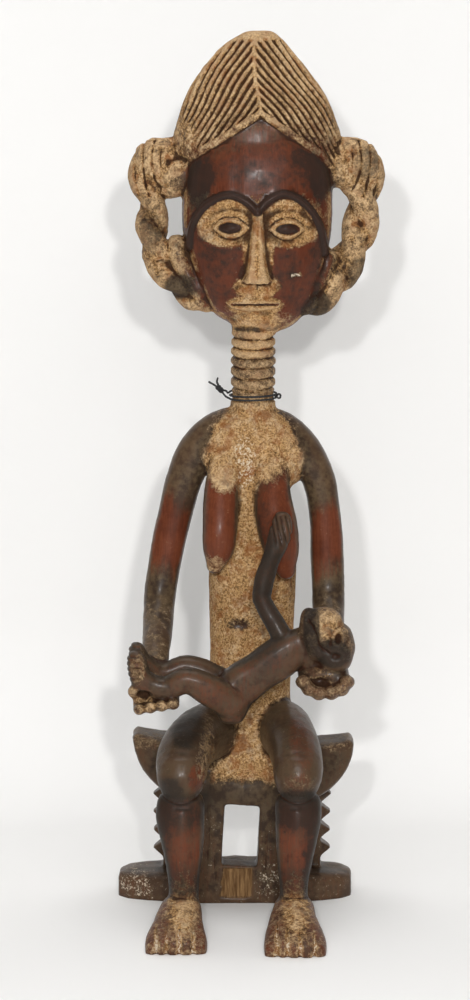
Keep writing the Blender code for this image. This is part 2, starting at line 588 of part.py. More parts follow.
def finger_relief(x, y, z):
    """Part the child's toes and its fingers on the breast."""
    toes = 0.7 * ridge(np.abs(((z - 134.0) % 2.9) - 1.45), 0.9) * (x < -50) * (z > 133) * (y < -46)
    hand_span = (x - 24.6) * 0.95 + (z - 209) * 0.25
    hand = (np.abs(hand_span) < 5.8) & (z > 200) & (z < 217) & (y < -34)
    fingers = 0.8 * ridge(np.abs(((hand_span + 5.8) % 2.9) - 1.45), 0.9) * hand
    return -toes - fingers


CHILD_MOUTH = (52.5, 147.5)
CHILD_EAR = (54.0, 157.0)
CHILD_CHEEK = [(38.5, 166), (42, 160.5), (44.5, 153), (49, 149)]


def child_face_relief(x, y, z):
    """Cut the child's open mouth and the line of its cheek, and raise its ear."""
    near = (y < -56) * (x > 34) * (z > 141) * (z < 172)
    mouth = 2.4 * ridge(np.hypot((x - CHILD_MOUTH[0]) / 1.4, z - CHILD_MOUTH[1]), 3.0)
    cheek = 1.1 * ridge(distance_to_line(x, z, spline(CHILD_CHEEK, 3)), 1.7)
    round_ear = np.hypot(x - CHILD_EAR[0], (z - CHILD_EAR[1]) / 1.5)
    ear = 0.9 * ridge(np.abs(round_ear - 2.6), 1.3)
    return (ear - mouth - cheek) * near


def bun_relief(x, y, z):
    """Comb the two buns with curved grooves."""
    relief = np.zeros_like(x)
    for centre, side in (((-37.0, 404.0), -1), ((60.0, 404.0), 1)):
        reach = np.hypot((x - centre[0]) * 1.15, (z - centre[1]) * 0.5)
        near = ((x - centre[0]) * side > 2) & (z > 384) & (z < 414)
        relief -= 0.9 * ridge(np.abs((reach % 4.2) - 2.1), 1.4) * near * smooth_step((21 - reach) / 3)
    return relief


KNEE_MIDDLES = (-28.5, 33.2)
KNEE_CREASE = 71.5
KNEE_HALF = 11.5


def knee_relief(x, y, z):
    """Crease each leg under the round end of its thigh, lowest in the middle."""
    relief = np.zeros_like(x)
    for middle in KNEE_MIDDLES:
        across = (x - middle) / KNEE_HALF
        below = z - KNEE_CREASE - 3.5 * np.clip(np.abs(across), 0.0, 1.2) ** 2
        relief -= 0.8 * ridge(np.abs(below), 1.7) * (np.abs(across) < 1.4)
    return relief * (y < -60)


def carve(points, faces):
    """Cut every piece of relief into the fused skin, along the skin's own direction."""
    directions = normals_of(points, faces)
    x, y, z = drawn(points).T
    facing_y, facing_z = directions[:, 1], directions[:, 2]
    relief = hair_relief(x, y, z, facing_y) + face_relief(x, y, z, facing_y)
    relief += neck_relief(x, y, z) + bun_relief(x, y, z) + knee_relief(x, y, z)
    relief += toe_relief(x, y, z, facing_y, facing_z) + finger_relief(x, y, z)
    relief += child_face_relief(x, y, z)
    return points + directions * relief[:, None] * PART


def cutter(name, centre, size):
    """Make a box that cuts another object and is no piece itself."""
    forms = bmesh.new()
    box(forms, centre, size)
    made = mesh_object(name, forms)
    made.hide_render = True
    made.display_type = "WIRE"
    return made


def cut_by(piece, tool):
    """Cut a tool's shape out of a piece."""
    step = piece.modifiers.new(tool.name, "BOOLEAN")
    step.operation = "DIFFERENCE"
    step.solver = "EXACT"
    step.object = tool


def thin_to(piece, triangles, faces):
    """Thin a piece's even skin to a number of triangles that keep its form."""
    step = piece.modifiers.new("thin", "DECIMATE")
    step.ratio = triangles / (2.0 * faces)


def surface_object(name, points, faces):
    """Make a linked object of points and four-cornered faces."""
    mesh = bpy.data.meshes.new(name)
    mesh.from_pydata(points.tolist(), [], faces.tolist())
    made = bpy.data.objects.new(name, mesh)
    bpy.context.scene.collection.objects.link(made)
    return made


def wood(name, colour, roughness):
    """Make a plain dressed-wood or string material."""
    made = bpy.data.materials.new(name)
    made.use_nodes = True
    shader = made.node_tree.nodes["Principled BSDF"]
    shader.inputs["Base Color"].default_value = (*colour, 1.0)
    shader.inputs["Roughness"].default_value = roughness
    shader.inputs["Metallic"].default_value = 0.0
    return made


def build_figure():
    """Carve mother, child and stool as one piece of wood."""
    forms = bmesh.new()
    add_body(forms)
    add_arms(forms)
    add_hands(forms)
    add_legs(forms)
    add_child(forms)
    add_head(forms)
    add_plaits(forms)
    add_stool(forms)
    rough = mesh_object("rough_forms", forms)
    points, faces = largest_body(*fused(rough, CARVING_GRAIN))
    points = relax(points, faces, 5, 0.5)
    points = carve(points, faces)
    points = relax(points, faces, 1, 0.3)
    figure = surface_object("carved_figure", points, faces)
    thin_to(figure, CARVING_TRIANGLES, len(faces))
    front = -BASE_MIDDLE_DEPTH / 2
    wide = 2 * BASE_LENGTH
    cut_by(figure, cutter("floor_cut", (0, 0, -wide / 2), (wide, 2 * wide, wide)))
    cut_by(figure, cutter("window_cut", (PANEL_MIDDLE, 0, WINDOW_SILL + WINDOW_HEIGHT / 2),
                          (WINDOW_WIDTH, 2 * BASE_MIDDLE_DEPTH, WINDOW_HEIGHT)))
    cut_by(figure, cutter("patch_cut", (PATCH_MIDDLE, front, WINDOW_SILL - PATCH_GAP - PATCH_HEIGHT / 2),
                          (PATCH_WIDTH, 2 * PATCH_DEPTH, PATCH_HEIGHT)))
    figure.data.materials.append(wood("dark_wood", (0.13, 0.045, 0.025), 0.42))


KNOT_REACH = np.array([-4.8, -1.5, 4.6])
LONG_END = np.array([-6.5, -0.5, 6.0])
SHORT_END = np.array([-1.5, 0.8, 7.4])
KNOT_SWELL = 2.4


def cord_turns():
    """Lay the string's turns round the neck, climbing from the first to the last."""
    middle = place(np.array([9.8, 2.0, CORD_LEVEL]))
    reach = NECK_RADIUS * PART + CORD_CLEARANCE + CORD_DIAMETER / 2
    steps = 40 * CORD_TURNS
    turns = []
    for index in range(steps + 1):
        share = index / steps
        angle = math.pi + 2 * math.pi * CORD_TURNS * share
        climb = CORD_PITCH * CORD_TURNS * (share - 0.5)
        turns.append(middle + np.array([reach * math.cos(angle), reach * math.sin(angle), climb]))
    return np.array(turns)


def build_cord():
    """Tie the string: its turns, the knot and the two ends that stand out."""
    turns = cord_turns()
    knot = turns[0] + KNOT_REACH * PART
    forms = bmesh.new()
    radius = CORD_DIAMETER / 2 / PART
    routes = [turns]
    for leaving, end in ((turns[0], LONG_END), (turns[-1], SHORT_END)):
        routes.append(np.array([leaving, (leaving + knot) / 2, knot, knot + end * PART]))
    for route in routes:
        rows = drawn(route)
        stations = np.column_stack([rows, np.full((len(rows), 2), radius)])
        limb(forms, stations, facing=UP, steps=2, sides=10)
    ball(forms, drawn(knot[None])[0], (KNOT_SWELL * radius,) * 3)
    rough = mesh_object("rough_cord", forms)
    points, faces = largest_body(*fused(rough, CORD_GRAIN))
    cord = surface_object("neck_cord", points, faces)
    thin_to(cord, CORD_TRIANGLES, len(faces))
    cord.data.materials.append(wood("black_string", (0.012, 0.012, 0.013), 0.8))


def main():
    """Clear the scene and build both pieces."""
    for item in list(bpy.data.objects):
        bpy.data.objects.remove(item, do_unlink=True)
    build_figure()
    build_cord()


main()
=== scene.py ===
"""Looks of a seated mother with a child across her lap, carved with her stool from one block.

The carving is modelled in millimetres, with the origin at the middle of the stool's underside,
+Z up and the mother facing -Y, and it is turned into metres when its forms are made.
"""

from __future__ import annotations

import json
import logging
import math
from dataclasses import dataclass, field
from enum import Enum
from typing import Callable

import bmesh
import bpy
import numpy as np
from mathutils import Matrix, Vector

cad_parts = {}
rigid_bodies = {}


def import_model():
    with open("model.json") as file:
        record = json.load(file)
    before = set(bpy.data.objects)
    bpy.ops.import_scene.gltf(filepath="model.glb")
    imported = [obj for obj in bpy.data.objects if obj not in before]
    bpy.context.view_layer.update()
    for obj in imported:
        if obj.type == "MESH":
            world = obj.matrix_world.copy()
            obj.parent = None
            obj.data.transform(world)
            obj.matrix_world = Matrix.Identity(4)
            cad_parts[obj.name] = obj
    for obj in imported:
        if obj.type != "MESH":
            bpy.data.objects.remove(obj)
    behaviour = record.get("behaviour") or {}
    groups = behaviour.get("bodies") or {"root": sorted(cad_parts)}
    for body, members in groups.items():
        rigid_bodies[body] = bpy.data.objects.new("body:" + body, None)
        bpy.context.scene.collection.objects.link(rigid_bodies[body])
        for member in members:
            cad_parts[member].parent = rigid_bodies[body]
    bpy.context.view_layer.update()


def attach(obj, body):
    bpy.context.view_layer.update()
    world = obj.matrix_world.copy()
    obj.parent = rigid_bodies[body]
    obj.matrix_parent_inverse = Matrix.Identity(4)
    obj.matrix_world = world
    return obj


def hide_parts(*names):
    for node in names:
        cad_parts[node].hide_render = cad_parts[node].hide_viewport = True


LOG = logging.getLogger("mother_and_child")

MM = 0.001
BACK = (0.0, 1.0, 0.0)
UP = (0.0, 0.0, 1.0)

Station = tuple[float, float, float, float, float]
Corner = tuple[float, float]
Place = tuple[float, float, float]
Colour = tuple[float, float, float]


class Part(Enum):
    """The places of the carving that are finished differently."""

    TRUNK = "trunk"
    NECK = "neck"
    BREAST = "breast"
    ARM = "arm"
    HAND = "hand"
    THIGH = "thigh"
    SHIN = "shin"
    FOOT = "foot"
    CHILD = "child"
    CHILD_HEAD = "child_head"
    FACE = "face"
    CREST = "crest"
    PLAIT = "plait"
    STOOL = "stool"


class Layer(Enum):
    """What lies on the wood, each kept as one value at each point of the skin; the soot layer also holds
    painted shade, and the hollow layer, how sunk a point is, paints shade and dirt into the hollows.
    """

    CRUST = "crust"
    RED = "red"
    # real soot, together with painted shade on the sides that turn away
    SOOT = "soot_and_shade"
    PALE = "pale"
    BARE = "bare"
    # how far a point is sunk; the finish paints shade and dirt into the hollows with it
    HOLLOW = "hollow"


Shares = dict[Part, np.ndarray]
Layers = dict[Layer, np.ndarray]


def smooth_step(values: np.ndarray) -> np.ndarray:
    """Ease from 0 to 1 as the values go from 0 to 1."""
    values = np.clip(values, 0.0, 1.0)
    return values * values * (3.0 - 2.0 * values)


def ridge(distance: np.ndarray, half_width: float) -> np.ndarray:
    """Read a rounded ridge: 1 on its line and 0 at its half width."""
    return smooth_step(1.0 - distance / half_width)


def patch(x: np.ndarray, z: np.ndarray, centre: Corner, halves: Corner, soft: float = 0.5) -> np.ndarray:
    """Read a soft-edged oval of the front view.

    Args:
        x: Places across, in millimetres.
        z: Heights, in millimetres.
        centre: The oval's middle.
        halves: Its half width and half height.
        soft: The share of its reach over which it fades.

    Returns:
        1 inside the oval and 0 outside.
    """
    reach = np.hypot((x - centre[0]) / halves[0], (z - centre[1]) / halves[1])
    return smooth_step((1.0 + soft / 2 - reach) / soft)


def spline(stations: tuple | list | np.ndarray, steps: int) -> np.ndarray:
    """Read a smooth curve through stations.

    Args:
        stations: Rows of numbers that the curve passes through.
        steps: How many rows to give for each span.

    Returns:
        The rows along the curve, the last station included.
    """
    rows = np.array(stations, float)
    ends = np.vstack([2 * rows[0] - rows[1], rows, 2 * rows[-1] - rows[-2]])
    shares = np.linspace(0.0, 1.0, steps, endpoint=False)[:, None]
    spans = []
    for index in range(1, len(ends) - 2):
        before, start, finish, after = ends[index - 1:index + 3]
        spans.append(0.5 * (2 * start + (finish - before) * shares
                            + (2 * before - 5 * start + 4 * finish - after) * shares ** 2
                            + (3 * start - before - 3 * finish + after) * shares ** 3))
    return np.vstack(spans + [rows[-1:]])


def distance_to_line(x: np.ndarray, z: np.ndarray, corners: np.ndarray | list) -> np.ndarray:
    """Measure how far places of the front view lie from a line of corners.

    Args:
        x: Places across.
        z: Heights.
        corners: The line's corners, as (x, z).

    Returns:
        The shortest distance for each place.
    """
    best = np.full(x.shape, 1e9)
    for (x0, z0), (x1, z1) in zip(corners, corners[1:]):
        run_x, run_z = x1 - x0, z1 - z0
        share = ((x - x0) * run_x + (z - z0) * run_z) / (run_x ** 2 + run_z ** 2)
        share = np.clip(share, 0.0, 1.0)
        best = np.minimum(best, np.hypot(x - x0 - share * run_x, z - z0 - share * run_z))
    return best


def lumps(points: np.ndarray, size: float, seed: int) -> np.ndarray:
    """Read a smooth uneven field, the same on each run.

    Args:
        points: Places, in millimetres.
        size: How far apart its lumps lie, in millimetres.
        seed: Which field to read.

    Returns:
        A value between -1 and 1 for each place.
    """
    cells = points / size + 1000.0
    base = np.floor(cells).astype(np.int64)
    share = smooth_step(cells - base)
    total = np.zeros(len(points))
    for corner in range(8):
        step = np.array([corner & 1, (corner >> 1) & 1, (corner >> 2) & 1])
        key = base + step
        mixed = key[:, 0] * 73856093 ^ key[:, 1] * 19349663 ^ key[:, 2] * 83492791 ^ seed * 40503
        mixed = (mixed & 0xFFFFFFFF) * 668265261 & 0xFFFFFFFF
        mixed = (mixed ^ (mixed >> 15)) * 374761393 & 0xFFFFFFFF
        value = ((mixed ^ (mixed >> 13)) & 0xFFFF) / 32767.5 - 1.0
        total += value * np.prod(np.where(step == 1, share, 1.0 - share), axis=1)
    return total


def deselect_all() -> None:
    """Leave edit mode and let go of everything."""
    if bpy.context.object is not None and bpy.context.object.mode != "OBJECT":
        bpy.ops.object.mode_set(mode="OBJECT")
    bpy.ops.object.select_all(action="DESELECT")


def make_active(item: bpy.types.Object) -> None:
    """Select one object alone and make it the active one.

    Args:
        item: The object to select.
    """
    deselect_all()
    item.select_set(True)
    bpy.context.view_layer.objects.active = item


def apply_modifier(item: bpy.types.Object, kind: str, **settings: object) -> None:
    """Add a modifier to an object and apply it.

    Args:
        item: The object to change.
        kind: Blender's name for the modifier's type.
        settings: The modifier's values.
    """
    make_active(item)
    bpy.ops.object.modifier_add(type=kind)
    step = item.modifiers[-1]
    for name, value in settings.items():
        setattr(step, name, value)
    bpy.ops.object.modifier_apply(modifier=step.name)


def join(items: list[bpy.types.Object], name: str) -> bpy.types.Object:
    """Join several objects into the first and name it.

    Args:
        items: The objects, of which the first is kept.
        name: The joined object's name.

    Returns:
        The joined object.
    """
    make_active(items[0])
    for item in items:
        item.select_set(True)
    bpy.ops.object.join()
    items[0].name = name
    items[0].data.name = name
    return items[0]


@dataclass(frozen=True)
class Limb:
    """One rounded form: stations of (x, y, z, half width, half depth), in millimetres.

    The half depth lies along facing. Squareness 2 is an oval and more is boxier. Dome is how far
    the ends bulge. Twist, as (strands, turns, height), ropes the skin past its root.
    """

    stations: tuple[Station, ...]
    facing: Place = BACK
    squareness: float = 2.0
    dome: float = 1.0
    steps: int = 4
    sides: int = 20
    twist: tuple[int, float, float] | None = None

    @classmethod
    def ball(cls, centre: Place, halves: Place,
             sides: int = 24) -> Limb:
        """Draw an ellipsoid as a short upright limb.

        Args:
            centre: Its middle.
            halves: Its half width, half depth and half height.
            sides: How many corners each section has.

        Returns:
            The limb.
        """
        x, y, z = centre
        wide, deep, tall = halves
        drawn_in = math.cos(math.radians(30))
        rows = tuple((x, y, z + step * tall / 2, wide * size, deep * size)
                     for step, size in ((-1, drawn_in), (0, 1.0), (1, drawn_in)))
        return cls(rows, dome=tall / 2 / (min(wide, deep) * drawn_in), sides=sides)

    def sections(self) -> tuple[np.ndarray, list[Matrix]]:
        """Work out the sections along the limb.

        Returns:
            The points of each section, in metres, and the place, turn and size of each.
        """
        rows = spline(self.stations, self.steps)
        centres, halves = rows[:, :3], rows[:, 3:5]
        tangents = np.gradient(centres, axis=0)
        tangents /= np.linalg.norm(tangents, axis=1)[:, None]
        facing = np.array(self.facing, float)
        deep_axes = facing - tangents * (tangents @ facing)[:, None]
        deep_axes /= np.linalg.norm(deep_axes, axis=1)[:, None]
        wide_axes = np.cross(deep_axes, tangents)
        angles = np.linspace(0.0, 2 * math.pi, self.sides, endpoint=False)
        power = 2.0 / self.squareness
        across = np.sign(np.cos(angles)) * np.abs(np.cos(angles)) ** power
        deep = np.sign(np.sin(angles)) * np.abs(np.sin(angles)) ** power
        bulge = np.radians([0.0, 30.0, 55.0, 75.0])
        plan = [(0, -math.sin(a), math.cos(a)) for a in bulge[:0:-1]]
        plan += [(index, 0.0, 1.0) for index in range(len(rows))]
        plan += [(len(rows) - 1, math.sin(a), math.cos(a)) for a in bulge[1:]]
        rings, places = [], []
        for index, reach, shrink in plan:
            width, depth = halves[index] * shrink
            swell = np.ones(self.sides)
            if self.twist is not None:
                strands, turns, height = self.twist
                share = index / (len(rows) - 1)
                phase = strands * angles + 2 * math.pi * turns * share
                begun = smooth_step((share - 0.12) / 0.15)
                swell += height * begun * (np.abs(np.cos(phase / 2)) - 0.75)
            middle = centres[index] + tangents[index] * reach * halves[index].min() * self.dome
            rings.append(MM * (middle + wide_axes[index] * (across * swell)[:, None] * width
                               + deep_axes[index] * (deep * swell)[:, None] * depth))
            turn = Matrix([wide_axes[index], deep_axes[index], tangents[index]]).transposed()
            places.append((Vector(middle * MM), turn.to_euler(), Vector((width, depth, 1.0))))
        return np.array(rings), places

    def model(self, name: str) -> bpy.types.Object:
        """Model the limb: a circle for each section, bridged to the one before, ends filled.

        Args:
            name: The new object's name.

        Returns:
            The closed limb, faces out.
        """
        rings, places = self.sections()
        deselect_all()
        bpy.ops.mesh.primitive_circle_add(vertices=self.sides, radius=MM)
        made = bpy.context.object
        made.name = name
        bpy.ops.object.mode_set(mode="EDIT")
        bpy.ops.mesh.select_mode(type="VERT")
        for index, (centre, turn, size) in enumerate(places[1:], 1):
            bpy.ops.mesh.primitive_circle_add(vertices=self.sides, radius=MM, location=centre,
                                              rotation=turn, scale=size)
            forms = bmesh.from_edit_mesh(made.data)
            forms.verts.ensure_lookup_table()
            for ring in (index - 1, index):
                for corner in range(self.sides):
                    vert = forms.verts[ring * self.sides + corner]
                    vert.co = rings[ring][corner]
                    vert.select = True
            forms.select_flush_mode()
            bpy.ops.mesh.bridge_edge_loops()
        for end in (0, len(rings) - 1):
            forms = bmesh.from_edit_mesh(made.data)
            for vert in forms.verts:
                vert.select = vert.index // self.sides == end
            forms.select_flush_mode()
            bpy.ops.mesh.edge_face_add()
        bpy.ops.mesh.select_all(action="SELECT")
        bpy.ops.mesh.normals_make_consistent(inside=False)
        bpy.ops.object.mode_set(mode="OBJECT")
        return made


Forms = list[tuple[Part, Limb]]


@dataclass(frozen=True)
class Spots:
    """Places on the skin that a relief or a finish is worked out for, in millimetres."""

    points: np.ndarray
    facing: np.ndarray

    @property
    def x(self) -> np.ndarray:
        """Places across."""
        return self.points[:, 0]

    @property
    def y(self) -> np.ndarray:
        """Places from front to back."""
        return self.points[:, 1]

    @property
    def z(self) -> np.ndarray:
        """Heights."""
        return self.points[:, 2]

    @property
    def ahead(self) -> np.ndarray:
        """How far the skin faces forward, from -1 to 1."""
        return -self.facing[:, 1]


@dataclass
class Skin:
    """The carving's skin while it is carved: points in metres and the corners of its faces."""

    points: np.ndarray
    faces: np.ndarray

    @classmethod
    def of(cls, item: bpy.types.Object) -> Skin:
        """Read an object whose faces all have the same number of corners.

        Args:
            item: The object to read.

        Returns:
            Its skin.
        """
        mesh = item.data
        points = np.empty(len(mesh.vertices) * 3)
        mesh.vertices.foreach_get("co", points)
        corners = np.empty(len(mesh.loops), dtype=np.int64)
        mesh.loops.foreach_get("vertex_index", corners)
        return cls(points.reshape(-1, 3), corners.reshape(len(mesh.polygons), -1))

    def keep_largest(self) -> None:
        """Keep the body with the most points, because the block has no shut hollow inside."""
        label = np.arange(len(self.points))
        while True:
            lowest = label[self.faces].min(axis=1)
            fresh = label.copy()
            for corner in range(self.faces.shape[1]):
                np.minimum.at(fresh, self.faces[:, corner], lowest)
            fresh = fresh[fresh]
            if np.array_equal(fresh, label):
                break
            label = fresh
        kept = label == np.bincount(label).argmax()
        renumber = np.cumsum(kept) - 1
        self.points = self.points[kept]
        self.faces = renumber[self.faces[kept[self.faces[:, 0]]]]

    def relaxed(self, rounds: int, strength: float) -> np.ndarray:
        """Soften the skin.

        Args:
            rounds: How often each point moves towards the middle of its neighbours.
            strength: How far it moves each time, as a share of the way.

        Returns:
            The softened points.
        """
        first, second = self.faces.ravel(), np.roll(self.faces, -1, axis=1).ravel()
        degree = np.bincount(first, minlength=len(self.points))[:, None]
        points = self.points
        for _ in range(rounds):
            sums = [np.bincount(first, weights=points[second, axis], minlength=len(points))
                    for axis in range(3)]
            total = np.stack(sums, axis=1)
            points = points + strength * (total / degree - points)
        return points

    def facing(self) -> np.ndarray:
        """Work out the outward direction at each point.

        Returns:
            A direction of length 1 for each point.
        """
        last = self.faces.shape[1] - 1
        first = self.points[self.faces[:, 2]] - self.points[self.faces[:, 0]]
        second = self.points[self.faces[:, last]] - self.points[self.faces[:, 1]]
        across = np.cross(first, second)
        total = np.zeros_like(self.points)
        for corner in range(self.faces.shape[1]):
            for axis in range(3):
                total[:, axis] += np.bincount(self.faces[:, corner], weights=across[:, axis],
                                              minlength=len(self.points))
        return total / np.maximum(np.linalg.norm(total, axis=1), 1e-20)[:, None]

    def spots(self) -> Spots:
        """Read the skin's places and directions in millimetres."""
        return Spots(self.points / MM, self.facing())


@dataclass(frozen=True)
class Wear:
    """How much of each layer lies on one place of the carving, from 0 to 1."""

    crust: float = 0.0
    red: float = 0.0
    soot_and_shade: float = 0.0
    pale: float = 0.0

    def of(self, layer: Layer) -> float:
        """Read one layer, 0 where the wear doesn't name it."""
        return getattr(self, layer.value, 0.0)


@dataclass(frozen=True)
class Stain:
    """A soft oval of the front view where a layer is thicker, or thinner, on some places."""

    layer: Layer
    centre: Corner
    halves: Corner
    amount: float
    parts: tuple[Part, ...]
    soft: float = 0.7


@dataclass
class Trunk:
    """The mother's trunk with her neck, shoulders and breasts."""

    body: Limb = Limb(((8, 4, 72, 27, 20), (8, 3, 92, 28, 20), (8, 0, 110, 22.5, 18),
                       (9, 0, 145, 23, 17.5), (9.5, 0, 180, 24, 17.5), (9, 0, 204, 23, 17),
                       (8.4, 0, 226, 21.5, 16.5), (9.5, 0, 237, 29, 16.5), (9.8, 0, 245, 33, 16),
                       (9.8, 1, 255, 28, 15), (9.8, 2, 263.5, 18, 13.5)),
                      squareness=2.5, dome=0.5)
    neck: Limb = Limb(((9.8, 2, 256, 16, 14), (9.8, 2, 266, 14, 13), (9.7, 2, 273, 12.2, 11.8),
                       (9.8, 2, 298, 12.2, 11.7), (10, 1, 322, 11.8, 11)), dome=0.3)
    left_breast: Limb = Limb(((-4.5, -9, 247, 8, 6), (-7.3, -17, 228, 9.2, 8.5),
                              (-8, -22.5, 210, 9.5, 10.5), (-9, -24.5, 197, 8.6, 9.2),
                              (-10.6, -23.5, 188, 4.8, 5.6)))
    right_breast: Limb = Limb(((20, -9, 247, 8.5, 6), (20, -17, 227, 9.8, 8.5),
                               (22.6, -22.5, 209, 10.9, 10.5), (25.3, -24.5, 195, 9.2, 9.2),
                               (27.2, -23.5, 185.5, 5.4, 5.8)))
    hips: Limb = Limb.ball((8, 8, 88), (33, 21, 20))
    lap: Limb = Limb(((8, -11, 58, 19, 13), (7, -11, 78, 22, 13), (7.5, -9, 100, 20, 12),
                      (8, -4, 112, 17, 13)), squareness=4.0, dome=0.2)
    neck_middle: Corner = (9.8, 2.0)
    neck_span: Corner = (270.0, 312.0)
    neck_rings: tuple[float, ...] = (308.5, 303.2, 298.0, 292.8, 287.0, 281.2)
    ring_depth: float = 1.5
    string_level: float = 276.6
    string_seat: float = 0.9
    navel: Corner = (2.5, 154.0)
    lap_cracks: tuple[Corner, ...] = ((101.0, 0.16), (106.5, -0.12), (97.0, 0.05))
    knee_pit: Corner = (34.5, 70.5)

    def forms(self) -> Forms:
        """List the rough forms and the place that each belongs to."""
        return [(Part.TRUNK, self.body), (Part.NECK, self.neck), (Part.BREAST, self.left_breast),
                (Part.BREAST, self.right_breast), (Part.TRUNK, self.hips), (Part.TRUNK, self.lap)]

    def relief(self, spots: Spots) -> np.ndarray:
        """Ring the neck, hollow the navel, groove the breasts and crack the lap.

        Args:
            spots: Where to work the relief out.

        Returns:
            How far the skin stands out at each spot, in millimetres.
        """
        x, y, z = spots.x, spots.y, spots.z
        beside, behind = x - self.neck_middle[0], y - self.neck_middle[1]
        low, high = self.neck_span
        near = (np.hypot(beside, behind) < 15.5) * (z > low) * (z < high)
        sag = np.clip(-behind / 11.0, -1, 1) + 0.25 * lumps(spots.points, 9.0, 11)
        rings = -self.string_seat * smooth_step(3.4 - np.abs(z - self.string_level))
        for level in self.neck_rings:
            rings -= self.ring_depth * ridge(np.abs(z + sag - level), 1.8)
        relief = rings * near
        front = smooth_step(spots.ahead / 0.4)
        navel = np.hypot((x - self.navel[0]) / 1.35, z - self.navel[1])
        relief -= ridge(navel, 4.5) * front * (y < -8) * (y > -30)
        for start, rise in self.lap_cracks:
            line = z - start - rise * (x - 5) - 0.8 * np.sin(x * 0.35)
            relief -= 0.35 * ridge(np.abs(line), 0.8) * front * (np.abs(x - 5) < 16) * (y < -12)
        pit = np.hypot(x - self.knee_pit[0], (z - self.knee_pit[1]) / 0.8)
        return relief - 3.0 * ridge(pit, 5.0) * front * (y > -40)


@dataclass
class Arms:
    """The mother's arms, from the foot of her neck to her hands under the child."""

    left: Limb = Limb(((8, 2, 261, 10.8, 10.5), (-7.5, 2, 257.5, 10.8, 11),
                       (-20.5, 2, 246.5, 10.6, 11), (-28.2, 1.5, 229, 9.9, 10),
                       (-33.2, 1, 209, 9.3, 9.4), (-38, 0, 187, 9, 9), (-41, -3, 166, 8.6, 8.6),
                       (-41.6, -16, 153.5, 8.2, 8), (-42.2, -34, 145, 7.6, 7.2),
                       (-42.8, -50, 134, 7.2, 6.8)), squareness=2.2)
    right: Limb = Limb(((12, 2, 261, 10.5, 10.5), (24.5, 2, 257.5, 10.5, 11),
                        (36.6, 2, 247, 10.2, 11), (45.4, 1.5, 230.5, 9, 10),
                        (49, 1, 210, 8.8, 9.4), (50.3, 0, 187, 9.2, 9), (50.8, -3, 167, 8.9, 8.6),
                        (50.9, -16, 155.5, 8.4, 8), (50.9, -34, 149, 7.6, 7.2),
                        (50.5, -50, 141, 7.2, 6.8)), squareness=2.2)
    left_palm: Limb = Limb(((-42.5, -46, 136, 7.5, 6), (-43.5, -56, 127.5, 10.5, 6),
                            (-43, -63, 122, 11, 5)), facing=UP)
    right_palm: Limb = Limb(((50.5, -46, 142, 7.6, 6), (48, -55, 137, 12.5, 7),
                             (46.5, -61, 135, 14, 7)), facing=UP)
    left_thumb: Limb = Limb(((-48, -52, 130, 4, 4), (-53, -60, 126.5, 3.6, 3.6),
                             (-53.5, -68, 128.5, 3, 3)), facing=UP, sides=12)
    first_finger: Corner = (-50.5, 118.6)
    finger_gap: float = 6.0
    finger_rise: float = 0.9
    palm_middle: Corner = (47.5, 134.6)
    palm_reach: Corner = (11.6, 8.4)
    spread: tuple[float, ...] = (-165, -135, -105, -75, -45, -15)
    left_hollow: Corner = (-47.5, 126.5)
    right_hollow: Corner = (45.0, 133.6)
    hands_front: float = -58.0

    def forms(self) -> Forms:
        """List the rough forms and the place that each belongs to.

        Returns:
            The forms.
        """
        made = [(Part.ARM, self.left), (Part.ARM, self.right), (Part.HAND, self.left_palm),
                (Part.HAND, self.left_thumb), (Part.HAND, self.right_palm)]
        for finger in range(4):
            side = self.first_finger[0] + self.finger_gap * finger
            low = self.first_finger[1] + self.finger_rise * finger
            made.append((Part.HAND, Limb(((side, -56, 122.5, 3.4, 3.2), (side, -66, low, 3.5, 3.2),
                                          (side, -72, low + self.finger_rise, 3.1, 3)),
                                         facing=UP, sides=12)))
        palm_x, palm_z = self.palm_middle
        for degrees in self.spread:
            turn = math.radians(degrees)
            tip_x = palm_x + self.palm_reach[0] * math.cos(turn)
            tip_z = palm_z + self.palm_reach[1] * math.sin(turn)
            made.append((Part.HAND, Limb(((palm_x, -55, palm_z, 4, 4), (tip_x, -63, tip_z, 4.1, 3.8),
                                          (tip_x, -69, tip_z + 1.6, 3.5, 3.2)), facing=UP, sides=12)))
        return made

    def relief(self, spots: Spots) -> np.ndarray:
        """Hollow the palms between the fingers and the child's foot and head.

        Args:
            spots: Where to work the relief out.

        Returns:
            How far the skin stands out at each spot, in millimetres.
        """
        x, z = spots.x, spots.z
        front = smooth_step(spots.ahead / 0.4) * (spots.y < self.hands_front)
        right = np.hypot((x - self.right_hollow[0]) / 2.1, z - self.right_hollow[1])
        left = np.hypot((x - self.left_hollow[0]) / 1.7, z - self.left_hollow[1])
        return -(2.6 * ridge(right, 3.6) + 2.2 * ridge(left, 3.4)) * front


